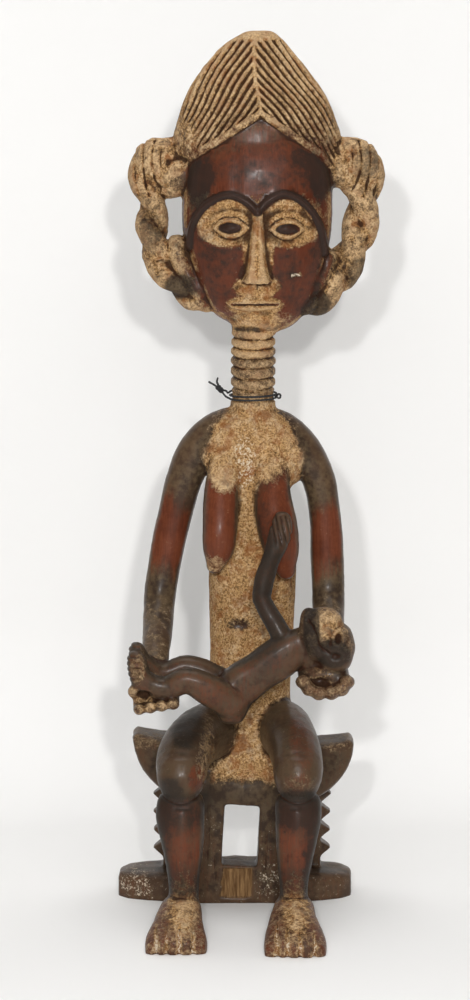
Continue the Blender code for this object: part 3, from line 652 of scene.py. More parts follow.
@dataclass
class Legs:
    """The mother's thighs, shins and feet, straight ahead of the stool."""

    left_thigh: Limb = Limb(((-2, 0, 94, 15, 15), (-12, -16, 95.5, 14.8, 15.5),
                             (-21.5, -38, 95, 14.6, 14.8), (-26.8, -57, 91, 14.2, 14.4),
                             (-28.4, -69, 86, 13.6, 13.6)), facing=UP, squareness=2.2)
    right_thigh: Limb = Limb(((20, 0, 94, 15, 15), (26.5, -16, 95.5, 14.5, 15.5),
                              (30, -38, 95, 13.6, 14.8), (32.6, -57, 91, 13.6, 14.4),
                              (33.4, -69, 86, 13.4, 13.6)), facing=UP, squareness=2.2)
    left_shin: Limb = Limb(((-28.6, -72, 70, 12.6, 10.5), (-28.8, -74, 62, 12.8, 11),
                            (-27.7, -76, 50, 11.4, 10), (-27, -77, 34, 9, 8.8),
                            (-27, -77, 21, 8, 8.8), (-27.5, -76, 8, 9.5, 10)),
                           squareness=2.2, dome=0.7)
    right_shin: Limb = Limb(((33.2, -72, 70, 12.2, 10.5), (33.4, -74, 62, 12.2, 11),
                             (32.3, -76, 50, 11, 10), (31.2, -77, 34, 8.8, 8.8),
                             (31, -77, 21, 7.4, 8.8), (31, -76, 8, 9.5, 10)),
                            squareness=2.2, dome=0.7)
    left_foot: Limb = Limb(((-28, -68, 6, 9.5, 9), (-28.5, -80, 10, 11, 11), (-29.6, -95, 7, 13.4, 10),
                            (-30.4, -107, 3.5, 16.2, 8.5), (-30.4, -114.5, 1, 16, 7.5)),
                           facing=UP, squareness=3.0, dome=0.4)
    right_foot: Limb = Limb(((31, -68, 6, 9.5, 9), (31, -80, 10, 11, 11), (30.6, -95, 7, 13.6, 10),
                             (31, -109, 3.5, 16.2, 8.5), (31, -119, 1, 16, 7.5)),
                            facing=UP, squareness=3.0, dome=0.4)
    knees: tuple[Limb, ...] = (Limb.ball((-28.5, -71, 84), (13.2, 13.8, 13.6)),
                               Limb.ball((33.2, -71, 84), (13.0, 13.8, 13.6)))
    knee_middles: Corner = (-28.5, 33.2)
    shin_middles: Corner = (-27.6, 32.2)
    knee_crease: float = 71.5
    toe_cuts: tuple[float, ...] = (-40.8, -35.4, -28.8, -21.6, 21.8, 27.0, 33.6, 41.0)
    toe_cut_top: float = 14.0

    def forms(self) -> Forms:
        """List the rough forms and the place that each belongs to."""
        return [(Part.THIGH, self.left_thigh), (Part.THIGH, self.right_thigh),
                (Part.SHIN, self.left_shin), (Part.SHIN, self.right_shin),
                (Part.FOOT, self.left_foot), (Part.FOOT, self.right_foot),
                (Part.THIGH, self.knees[0]), (Part.THIGH, self.knees[1])]

    def toe_wedge(self, spots: Spots, cut: float, spread: float = 1.0) -> np.ndarray:
        """Read the wedge of wood taken out between two toes: 1 in its middle and 0 outside.

        Args:
            spots: Where to read it.
            cut: How far to the side the wedge lies.
            spread: How many times its own width it's taken to have.

        Returns:
            A share for each spot.
        """
        top = self.toe_cut_top + 1.6 * math.sin(5.0 * cut)
        wide = np.clip((top - spots.z) / self.toe_cut_top, 0.0, 1.0)
        across = np.abs(spots.x - cut + 0.25 * np.sin(spots.z * 0.8))
        shown = smooth_step((-spots.y - 101.0) / 6.0) * (spots.facing[:, 2] + spots.ahead > 0.3)
        return ridge(across, spread * (0.5 + 1.7 * wide)) * smooth_step(2.5 * wide) * shown

    def relief(self, spots: Spots) -> np.ndarray:
        """Crease the legs under the round ends of the thighs, part the toes and ridge the shins.

        Args:
            spots: Where to work the relief out.

        Returns:
            How far the skin stands out at each spot, in millimetres.
        """
        x, y, z = spots.x, spots.y, spots.z
        relief = np.zeros_like(x)
        for middle in self.knee_middles:
            across = (x - middle) / 11.5
            below = z - self.knee_crease - 3.5 * np.clip(np.abs(across), 0.0, 1.2) ** 2
            relief -= 0.9 * ridge(np.abs(below), 1.5) * (np.abs(across) < 1.4)
        relief = relief * (y < -60)
        for cut in self.toe_cuts:
            relief -= 2.0 * self.toe_wedge(spots, cut)
        shin = smooth_step((-y - 70) / 8) * (z > 12) * (z < 68)
        middle = np.where(x < 2, *self.shin_middles)
        return relief + 0.8 * ridge(np.abs(x - middle), 6.0) * shin


@dataclass
class Child:
    """The child on its back across the lap, one hand on the mother's breast."""

    trunk: Limb = Limb(((36, -57, 153, 8, 8), (25, -57, 145, 11, 10), (12, -57, 136, 10.5, 10),
                        (1, -57, 127, 11.5, 10.5), (-2, -57.5, 114.5, 8, 8.5)),
                       squareness=2.8, dome=0.8)
    near_leg: Limb = Limb(((-1, -62, 121, 9.5, 7.5), (-13, -65, 128, 8.6, 7.5),
                           (-25, -66, 133.5, 7, 6.5), (-36, -66, 129.5, 6.3, 6),
                           (-44, -66, 131.5, 5.6, 5.5)), squareness=2.3)
    far_leg: Limb = Limb(((-1, -50, 125, 9, 7), (-12, -50, 131, 8.4, 7),
                          (-25, -50, 137.4, 6.8, 6.5), (-36, -51, 134.4, 6.2, 6),
                          (-45, -53, 136, 5.6, 5.5)), squareness=2.3)
    near_foot: Limb = Limb(((-43, -66, 130.5, 5.5, 5.6), (-49.5, -66, 135.5, 6, 6),
                            (-52, -65, 144.8, 5, 6)), squareness=2.6)
    far_foot: Limb = Limb(((-44, -53, 136, 5.5, 5.6), (-50, -54, 141, 6, 6), (-52, -55, 147.5, 4.4, 6)),
                          squareness=2.6)
    upper_arm: Limb = Limb(((28, -58, 147, 7, 6), (24, -57, 157, 5.8, 5.2), (17.6, -54, 168, 5.2, 5),
                            (13.6, -51, 175.5, 4.8, 4.8)), sides=14)
    forearm: Limb = Limb(((13.8, -51, 174.5, 5, 4.8), (15.6, -47, 184, 5.4, 4.6),
                          (19.2, -42, 194, 5, 4.2), (22, -39, 201, 5.8, 4.2),
                          (24.6, -36.5, 209.5, 6.2, 4), (25.2, -34.5, 215.5, 4.8, 3.4)), sides=14)
    shoulder: Limb = Limb.ball((40, -56, 146), (10, 9, 8.5))
    skull: Limb = Limb.ball((46.5, -61, 157.5), (12, 11.5, 14.4))
    jaw: Limb = Limb.ball((53, -61.5, 150.5), (10.6, 11.5, 13.5))
    brow: Limb = Limb.ball((39, -60, 160), (5.5, 8, 11.5))
    mouth: Corner = (52.5, 147.5)
    ear: Corner = (54.0, 157.0)
    cheek: tuple[Corner, ...] = ((38.5, 166), (42, 160.5), (44.5, 153), (49, 149))

    def forms(self) -> Forms:
        """List the rough forms and the place that each belongs to.

        Returns:
            The forms.
        """
        body = [self.trunk, self.near_leg, self.far_leg, self.near_foot, self.far_foot,
                self.upper_arm, self.forearm, self.shoulder]
        head = [self.skull, self.jaw, self.brow]
        return [(Part.CHILD, limb) for limb in body] + [(Part.CHILD_HEAD, limb) for limb in head]

    def relief(self, spots: Spots) -> np.ndarray:
        """Part the toes and fingers, and carve the head's mouth, cheek, ear and rough hair.

        Args:
            spots: Where to work the relief out.

        Returns:
            How far the skin stands out at each spot, in millimetres.
        """
        x, y, z = spots.x, spots.y, spots.z
        toes = ridge(np.abs(((z - 134.0) % 2.9) - 1.45), 0.8) * (x < -50) * (z > 133) * (y < -46)
        span = (x - 24.6) * 0.95 + (z - 209) * 0.25
        fingers = ridge(np.abs(((span + 5.8) % 2.9) - 1.45), 0.8)
        fingers = fingers * (np.abs(span) < 5.8) * smooth_step((z - 199) / 6) * (z < 217) * (y < -34)
        near = (y < -56) * (x > 34) * (z > 141) * (z < 174)
        hollow = 2.6 * ridge(np.hypot((x - self.mouth[0]) / 1.5, z - self.mouth[1]), 3.2)
        fold = 1.4 * ridge(distance_to_line(x, z, spline(self.cheek, 3)), 1.6)
        round_ear = np.hypot(x - self.ear[0], (z - self.ear[1]) / 1.5)
        ear = 1.1 * ridge(np.abs(round_ear - 2.6), 1.2) - 0.8 * ridge(round_ear, 1.8)
        hair = patch(x, z, (48, 161), (10, 9), 0.6) * (0.4 * lumps(spots.points, 2.6, 5)
                                                       + 0.4 * lumps(spots.points, 5.0, 6))
        return -0.8 * toes - 0.9 * fingers + (ear - hollow - fold + hair) * near


@dataclass
class Head:
    """The mother's head: the mask, the pointed crest of locks and the two looped plaits."""

    skull: Limb = Limb(((11.3, -4, 314.5, 13.5, 9), (11.8, -2.5, 319, 22, 14.5),
                        (12.2, -1, 326, 27.8, 19), (12.5, 0, 337, 32.6, 23.5),
                        (12.5, 0, 351, 36.5, 26.5), (12, 0, 366, 39.6, 28), (12, 0, 382, 40, 28.5),
                        (12.4, 0, 400, 38.5, 27.5), (12.2, 0, 415, 33, 23), (12, 0, 426, 22, 16)),
                       squareness=2.25, dome=0.35, sides=36, steps=3)
    crest: Limb = Limb(((12, 2, 397, 39, 22), (12, 2, 407, 43.5, 25), (11.5, 1.5, 415, 44.8, 25.5),
                        (11.2, 1.5, 424, 42.2, 24), (11, 1.5, 440, 35, 19), (11.4, 2, 455, 23.8, 13.5),
                        (12, 2.5, 465, 14.2, 9), (12, 3, 469.3, 8.5, 6)),
                       squareness=1.75, dome=0.2, sides=36, steps=3)
    left_plait: Limb = Limb(((-31, 5, 407, 9, 8), (-42, 4, 401, 13.6, 11), (-44.6, 4, 390, 11.6, 10),
                             (-43.8, 4, 377, 7.8, 9), (-44.6, 4, 366, 8.6, 9), (-41, 4, 352, 8.8, 9),
                             (-31.8, 2, 339, 8.6, 9), (-23, 0, 330.5, 7.2, 8), (-16.5, -2, 326, 5.2, 6)),
                            steps=6, sides=24, twist=(2, 4.5, 0.5))
    right_plait: Limb = Limb(((52, 5, 407, 9, 8), (64.3, 4, 401.5, 13.4, 11), (68, 4, 390, 11.4, 10),
                              (68.7, 4, 376, 9.1, 9), (66, 4, 362, 9.3, 9), (60, 4, 349, 9.4, 9),
                              (53.5, 2, 338, 9.2, 9), (45, -1, 328.5, 7.6, 8), (38.5, -3, 325, 6, 6.5)),
                             steps=6, sides=24, twist=(2, 4.5, 0.5))
    bands: tuple[Limb, ...] = (
        Limb(((-31.5, 0, 359, 4.5, 8), (-28.5, 0, 348, 6, 9), (-19, -1, 333, 6, 9))),
        Limb(((50.5, 0, 351, 4.5, 8), (47, 0, 342, 6, 9), (38, -1, 331, 6, 9))),
        Limb(((-24, 3, 397, 13, 10.5), (-34, 3, 393, 13, 10.5), (-40, 3, 391, 9, 9)), facing=UP),
        Limb(((48, 3, 401, 11, 10.5), (58, 3, 398, 10, 10.5), (64, 3, 396, 8, 9)), facing=UP))
    hairline: tuple[Corner, ...] = ((-29.0, 396.0), (-22.0, 404.5), (13.5, 427.0), (45.0, 406.0),
                                    (53.0, 396.0))
    nape_level: float = 346.0
    parting_x: float = 10.2
    lock_rise: float = 5.2
    lock_slope: float = 1.15
    lock_steepening: float = 0.008
    lock_depth: float = 1.9
    brow_left: tuple[Corner, ...] = ((-25, 357), (-22.5, 370), (-15.5, 380.5), (-4, 386),
                                     (6, 382.5), (11.8, 377))
    brow_right: tuple[Corner, ...] = ((11.8, 377), (18, 383.5), (27, 386.5), (37, 381),
                                      (45, 369.5), (48.5, 354))
    brow_half: float = 2.3
    eyes: tuple[Corner, ...] = ((-2.8, 368.4), (28.2, 367.8))
    eye_halves: Corner = (9.0, 4.1)
    ball_halves: Corner = (5.5, 2.5)
    chip: Corner = (32.2, 343.4)
    nose_top: float = 377.0
    nose_foot: float = 340.5
    nose_x: float = 11.7
    mouth_ends: Corner = (-3.2, 24.2)
    mouth_level: float = 327.6
    buns: tuple[Corner, ...] = ((-37.0, 404.0), (60.0, 404.0))
    plait_cuts: tuple[Corner, ...] = ((-24.0, 1.1), (-31.0, 1.3), (44.0, -1.1), (51.0, -1.3))
    crusts: tuple[Stain, ...] = (
        Stain(Layer.CRUST, (12.4, 358), (8.5, 24), 1.0, (Part.FACE,), 0.35),
        Stain(Layer.CRUST, (11.5, 337), (12.5, 7), 1.0, (Part.FACE,), 0.5),
        Stain(Layer.CRUST, (10.5, 327), (15.5, 6), 1.0, (Part.FACE,), 0.4),
        Stain(Layer.CRUST, (11, 318), (24, 8), 0.5, (Part.FACE,), 0.8))

    def forms(self) -> Forms:
        """List the rough forms and the place that each belongs to."""
        made = [(Part.FACE, self.skull), (Part.CREST, self.crest), (Part.PLAIT, self.left_plait),
                (Part.PLAIT, self.right_plait)]
        return made + [(Part.PLAIT, band) for band in self.bands]

    def above_hairline(self, spots: Spots) -> np.ndarray:
        """Measure how far each spot lies above the edge of the hair, in front or behind."""
        line = np.interp(spots.x, [c[0] for c in self.hairline], [c[1] for c in self.hairline])
        return np.where(spots.ahead > -0.12, spots.z - line, spots.z - self.nape_level)

    def brow_distance(self, spots: Spots) -> np.ndarray:
        """Measure how far each spot lies from the arched brows."""
        return np.minimum(distance_to_line(spots.x, spots.z, spline(self.brow_left, 4)),
                          distance_to_line(spots.x, spots.z, spline(self.brow_right, 4)))

    def lids(self, spots: Spots, eye: Corner) -> tuple[np.ndarray, np.ndarray]:
        """Measure one eye's lids.

        Args:
            spots: Where to measure.
            eye: The eye's middle.

        Returns:
            How far along the eye each spot lies, as a share, and how far outside its edge.
        """
        span = np.clip(np.abs(spots.x - eye[0]) / self.eye_halves[0], 0, 1.25)
        return span, np.abs(spots.z - eye[1]) - self.eye_halves[1] * (1 - span ** 2.1)

    def eyeball(self, spots: Spots, eye: Corner) -> np.ndarray:
        """Measure how far each spot lies from an eyeball's middle, 1 at its edge."""
        wide, tall = self.ball_halves
        return np.hypot((spots.x - eye[0]) / wide, (spots.z - eye[1]) / tall)

    def hair(self, spots: Spots) -> np.ndarray:
        """Cut the locks of the crest and raise the band along the forehead.

        Args:
            spots: Where to work the relief out.

        Returns:
            How far the skin stands out at each spot, in millimetres.
        """
        x, z = spots.x, spots.z
        above = self.above_hairline(spots)
        apex_x, apex_z = self.hairline[2]
        hair = smooth_step((above - 2.8) / 1.6) * smooth_step((467.5 - z) / 4)
        hair *= smooth_step((x + 33) / 6) * smooth_step((56 - x) / 6)
        lean = (apex_x - self.parting_x) * smooth_step((452 - z) / (452 - apex_z))
        away = np.abs(x - self.parting_x - lean)
        start = z + self.lock_slope * away + self.lock_steepening * away ** 2
        start += 0.35 * lumps(spots.points, 12.0, 3)
        groove = smooth_step((0.34 + 0.5 * np.cos(2 * math.pi * start / self.lock_rise)) / 0.6)
        groove *= 1 - ridge(away, 2.5)
        groove *= smooth_step((np.abs(spots.ahead) - 0.2) / 0.4)
        groove *= 1 - 0.55 * smooth_step((away - 16) / 22)
        worn = 0.95 * patch(x, z, (-29, 408), (13, 15), 0.9)
        groove *= np.clip(1 - worn + 0.3 * lumps(spots.points, 6.0, 4), 0, 1.1)
        rim = smooth_step((above + 1.4) / 2.0) + 0.6 * ridge(np.abs(above - 1.2), 3.2)
        rim *= smooth_step((x + 29) / 6) * smooth_step((53 - x) / 6)
        rim *= 1 + 0.3 * lumps(spots.points, 4.0, 7)
        lift = np.where(spots.ahead > -0.12, rim, hair)
        return (lift - self.lock_depth * groove * hair) * (z > self.nape_level)

    def mask(self, spots: Spots) -> np.ndarray:
        """Carve the mask: arched brows, sockets, lidded eyes, wedge nose, level lips and chin.

        Args:
            spots: Where to work the relief out.

        Returns:
            How far the skin stands out at each spot, in millimetres.
        """
        x, z = spots.x, spots.z
        front = smooth_step((spots.ahead - 0.05) / 0.25) * (spots.y < -2)
        brow = self.brow_distance(spots)
        relief = 1.5 * ridge(brow, self.brow_half)
        for eye_x, eye_z in self.eyes:
            socket = np.hypot((x - eye_x) / 17.0, (z - eye_z - 1.5) / 12.5)
            relief -= 2.5 * smooth_step((1.05 - socket) / 0.45) * (1 - ridge(brow, self.brow_half + 0.5))
            span, lid = self.lids(spots, (eye_x, eye_z))
            beside = smooth_step((1.16 - span) / 0.16)
            relief += 0.9 * smooth_step((1.6 - lid) / 2.4) * beside
            relief += 0.3 * ridge(np.abs(lid - 0.2), 1.2) * beside
            relief -= 0.6 * ridge(np.abs(lid - 1.9), 0.7) * beside
            ball = self.eyeball(spots, (eye_x, eye_z))
            relief -= 0.5 * smooth_step((1.4 - ball) / 0.35)
            relief += 1.7 * smooth_step((1.1 - ball) / 0.8)
        down = np.clip((self.nose_top - z) / (self.nose_top - self.nose_foot), 0, 1)
        across = np.abs(x - self.nose_x)
        half = 2.5 + 1.9 * down + 2.7 * down ** 5
        body = smooth_step((half + 1.6 - across) / 3.4)
        body *= smooth_step((z - self.nose_foot + 0.6) / 1.2) * smooth_step((self.nose_top + 3 - z) / 5)
        relief += (1.8 + 5.4 * down ** 1.1) * body
        relief -= 0.8 * ridge(np.hypot((across - 3.4) / 1.6, z - 341.2), 1.3)
        relief -= 0.6 * ridge(across, 0.6) * (z < 368) * (z > 340) * (1 + 0.4 * np.sin(z))
        relief -= 1.0 * smooth_step((15 - across) / 5) * ridge(np.abs(z - 336.5), 5) * (1 - body)
        relief -= 0.4 * ridge(across, 1.5) * ridge(np.abs(z - 335.5), 4)
        low, high = self.mouth_ends
        along = (x - (low + high) / 2) / ((high - low) / 2)
        full = np.clip(1 - along ** 2, 0.0, 1.0) ** 0.7
        width = smooth_step((1.05 - np.abs(along)) / 0.18)
        bow = 0.5 * ridge(np.abs(along), 0.22)
        relief += width * 1.7 * ridge(np.abs(z - self.mouth_level - 1.5 * full + bow), 1.5 + 0.5 * full)
        relief += width * 1.7 * ridge(np.abs(z - self.mouth_level + 2.0 * full), 1.4 + 1.0 * full)
        relief -= width * 1.5 * ridge(np.abs(z - self.mouth_level), 0.75)
        relief -= 0.8 * smooth_step((12 - np.abs(x - 11)) / 6) * ridge(np.abs(z - 321.5), 3.2)
        chip_x, chip_z = self.chip
        chip = np.hypot((x - chip_x) / 3.6, (z - chip_z + 0.1 * (x - chip_x)) / 0.9)
        relief -= 0.6 * ridge(chip, 1.0)
        return relief * front * (z > 312) * (z < 395)

    def plaits(self, spots: Spots) -> np.ndarray:
        """Comb the two buns with curved grooves and work lumps into the plaits.

        Args:
            spots: Where to work the relief out.

        Returns:
            How far the skin stands out at each spot, in millimetres.
        """
        x, z = spots.x, spots.z
        outside = np.maximum(smooth_step((-33 - x) / 3), smooth_step((x - 56) / 3))
        outside = outside * (z > 318) * (z < 416)
        relief = 0.5 * lumps(spots.points, 5.5, 21) + 0.3 * lumps(spots.points, 2.6, 22)
        relief = relief * outside
        for (bun_x, bun_z), side in zip(self.buns, (-1, 1)):
            reach = np.hypot((x - bun_x) * 1.15, (z - bun_z) * 0.5)
            near = ((x - bun_x) * side > 2) & (z > 384) & (z < 414)
            near = near * smooth_step((21 - reach) / 3)
            relief -= 0.9 * ridge(np.abs((reach % 5.6) - 2.8), 1.3) * near
        for cut, slope in self.plait_cuts:
            middle = 329.0 if cut < 0 else 328.0
            line = (x - cut) - (z - middle) / slope
            low = (z < 345) * (np.abs(x - 12) > 29)
            relief -= 0.7 * ridge(np.abs(line), 1.2) * low * outside
        return relief

    def relief(self, spots: Spots) -> np.ndarray:
        """Add up the carving of the hair, the mask and the plaits."""
        return self.hair(spots) + self.mask(spots) + self.plaits(spots)


@dataclass
class Stool:
    """The low stool: bowed base, windowed front panel, saw-toothed posts and saddle seat."""

    base_length: float = 128.0
    base_middle_depth: float = 48.0
    base_end_depth: float = 25.0
    base_thickness: float = 13.2
    base_crown: float = 2.5
    panel_middle: float = 3.2
    panel_width: float = 50.0
    panel_thickness: float = 14.0
    window_width: float = 19.3
    window_sill: float = 20.8
    window_height: float = 34.0
    window_lean: float = 3.0
    patch_middle: float = 1.6
    patch_width: float = 17.2
    patch_height: float = 17.2
    patch_depth: float = 1.2
    patch_gap: float = 0.8
    post_middle: float = 3.9
    post_span: float = 99.0
    post_width: float = 22.0
    post_thickness: float = 14.0
    post_setback: float = 30.0
    tooth_start: float = 3.2
    tooth_count: int = 4
    tooth_pitch: float = 10.2
    tooth_depth: float = 6.0
    seat_height: float = 68.0
    seat_middle: float = 4.5
    seat_length: float = 119.0
    seat_tip_rise: float = 22.5
    seat_thickness: float = 15.5
    seat_tip_thickness: float = 3.5
    seat_depth: float = 50.0
    seat_tip_depth: float = 20.0
    seat_lean: float = 1.8
    seat_sweep: float = 4.0
    checks: tuple[Place, ...] = ((-14.5, 22, 58), (-10.5, 8, 30), (17.5, 12, 44), (22.0, 30, 60))

    @property
    def front(self) -> float:
        """Where the panel's face stands."""
        return -self.base_middle_depth / 2

    def base(self) -> Limb:
        """Shape the bowed base slab, deepest at its middle, half of it below the floor.

        Returns:
            The slab, as a limb from end to end.
        """
        rows = []
        for share in np.linspace(-1.0, 1.0, 25):
            rounded = 1.0 - 0.3 * max(0.0, (abs(share) - 0.9) / 0.1) ** 2
            depth = self.base_end_depth
            depth += (self.base_middle_depth - self.base_end_depth) * (1 - abs(share) ** 2.4)
            top = self.base_thickness + self.base_crown * (1 - abs(share))
            rows.append((share * self.base_length / 2, 0.0, 0.0, depth / 2 * rounded,
                         top * (0.75 + 0.25 * rounded)))
        return Limb(tuple(rows), facing=UP, squareness=5.7, dome=0.02, steps=1, sides=28)

    def seat(self) -> Limb:
        """Shape the saddle seat, whose ends sweep up to thin tips.

        Returns:
            The seat, as a limb from tip to tip.
        """
        rows = []
        for share in np.linspace(-1.0, 1.0, 33):
            top = self.seat_height + self.seat_tip_rise * math.sin(abs(share) * math.pi / 2) ** 1.2
            tip_low = self.seat_height + self.seat_tip_rise - self.seat_tip_thickness
            low = self.seat_height - self.seat_thickness
            low += (tip_low - low) * abs(share) ** self.seat_sweep
            depth = self.seat_tip_depth
            depth += (self.seat_depth - self.seat_tip_depth) * (1 - share * share) ** 0.8
            rows.append((self.seat_middle + share * self.seat_length / 2, 0.0,
                         (top + low) / 2 - share * self.seat_lean, depth / 2, (top - low) / 2))
        return Limb(tuple(rows), facing=UP, squareness=5.7, dome=0.02, steps=1, sides=28)

    def forms(self) -> Forms:
        """List the rough forms and the place that each belongs to."""
        return [(Part.STOOL, self.base()), (Part.STOOL, self.seat())]

    def block(self, centre: Place, size: Place,
              name: str, lean: float = 0.0) -> bpy.types.Object:
        """Add a block.

        Args:
            centre: Its middle, in millimetres.
            size: Its width, depth and height.
            name: The new object's name.
            lean: How far its top leans to higher x, in degrees.

        Returns:
            The block, with its place and size in its mesh.
        """
        deselect_all()
        bpy.ops.mesh.primitive_cube_add(size=MM, location=Vector(centre) * MM, scale=size,
                                        rotation=(0.0, math.radians(lean), 0.0))
        made = bpy.context.object
        made.name = name
        bpy.ops.object.transform_apply(location=True, rotation=True, scale=True)
        return made

    def tooth(self, side: int, level: float) -> bpy.types.Object:
        """Model one tooth: a block whose outer face is drawn down to an edge.

        Args:
            side: -1 for the side at lower x and 1 for the other.
            level: The tooth's middle height.

        Returns:
            The tooth.
        """
        tip = self.post_span / 2
        middle = self.post_middle + side * (tip - self.tooth_depth / 2 - 0.5)
        depth = self.front + self.post_setback
        made = self.block((middle, depth, level),
                          (self.tooth_depth + 1.0, self.post_thickness, self.tooth_pitch), "tooth")
        bpy.ops.object.mode_set(mode="EDIT")
        bpy.ops.mesh.select_all(action="DESELECT")
        bpy.ops.mesh.select_mode(type="FACE")
        forms = bmesh.from_edit_mesh(made.data)
        for face in forms.faces:
            face.select = face.normal.x * side > 0.9
        bpy.ops.transform.resize(value=(1.0, 0.45, 0.02),
                                 center_override=(middle * MM, depth * MM, level * MM))
        bpy.ops.object.mode_set(mode="OBJECT")
        return made

    def boards(self) -> list[bpy.types.Object]:
        """Build the panel and the two saw-toothed posts.

        Returns:
            The panel first, then each post with its teeth.
        """
        thickness = self.panel_thickness
        made = [self.block((self.panel_middle, self.front + thickness / 2, self.seat_height / 2),
                           (self.panel_width, thickness, self.seat_height), "panel")]
        start = self.base_thickness + self.base_crown + self.tooth_start
        low = start - self.tooth_pitch / 2
        for side in (-1, 1):
            outer = self.post_span / 2 - self.tooth_depth
            inner = self.post_span / 2 - self.post_width
            made.append(self.block((self.post_middle + side * (outer + inner) / 2,
                                    self.front + self.post_setback, (low + self.seat_height) / 2),
                                   (outer - inner, self.post_thickness, self.seat_height - low), "post"))
            for tooth in range(self.tooth_count):
                made.append(self.tooth(side, start + (tooth + 0.5) * self.tooth_pitch))
        return made

    def cut_window(self, items: list[bpy.types.Object]) -> None:
        """Cut the window through the forms that stand in its way.

        Args:
            items: The rough forms to cut.
        """
        tool = self.block((self.panel_middle, 0.0, self.window_sill + self.window_height / 2),
                          (self.window_width, 2 * self.base_middle_depth, self.window_height), "window",
                          self.window_lean)
        for item in items:
            apply_modifier(item, "BOOLEAN", operation="DIFFERENCE", solver="EXACT", object=tool)
        bpy.data.objects.remove(tool, do_unlink=True)

    def bare_patch(self, spots: Spots) -> np.ndarray:
        """Find the bare wood under the window.

        Args:
            spots: Where to look for it.

        Returns:
            1 on it and 0 outside.
        """
        top = self.window_sill - self.patch_gap
        uneven = 0.5 * lumps(spots.points, 4.0, 33)
        across = np.abs(spots.x - self.patch_middle + 0.08 * (top - spots.z)) + uneven
        inside = smooth_step((self.patch_width / 2 - across) / 0.7)
        inside *= smooth_step((spots.z + uneven - top + self.patch_height) / 0.7)
        inside *= smooth_step((top - spots.z) / 0.7)
        return inside * (np.abs(spots.y - self.front) < 4.0) * (spots.ahead > 0.3)

    def relief(self, spots: Spots) -> np.ndarray:
        """Sink the bare patch and open a few checks along the panel's grain.

        Args:
            spots: Where to work the relief out.

        Returns:
            How far the skin stands out at each spot, in millimetres.
        """
        x, z = spots.x, spots.z
        grain = lumps(spots.points * np.array([1.0, 1.0, 0.12]), 1.3, 31)
        bare = self.bare_patch(spots)
        relief = -(self.patch_depth - 0.3 * grain) * bare
        on_panel = (np.abs(spots.y - self.front) < 3.0) * (spots.ahead > 0.5) * (z < 66) * (z > 2)
        for check, low, high in self.checks:
            line = x - check - 0.5 * np.sin(z * 0.21)
            length = smooth_step((z - low) / 5) * smooth_step((high - z) / 5)
            relief -= 0.5 * ridge(np.abs(line), 0.65) * length * on_panel
        return relief


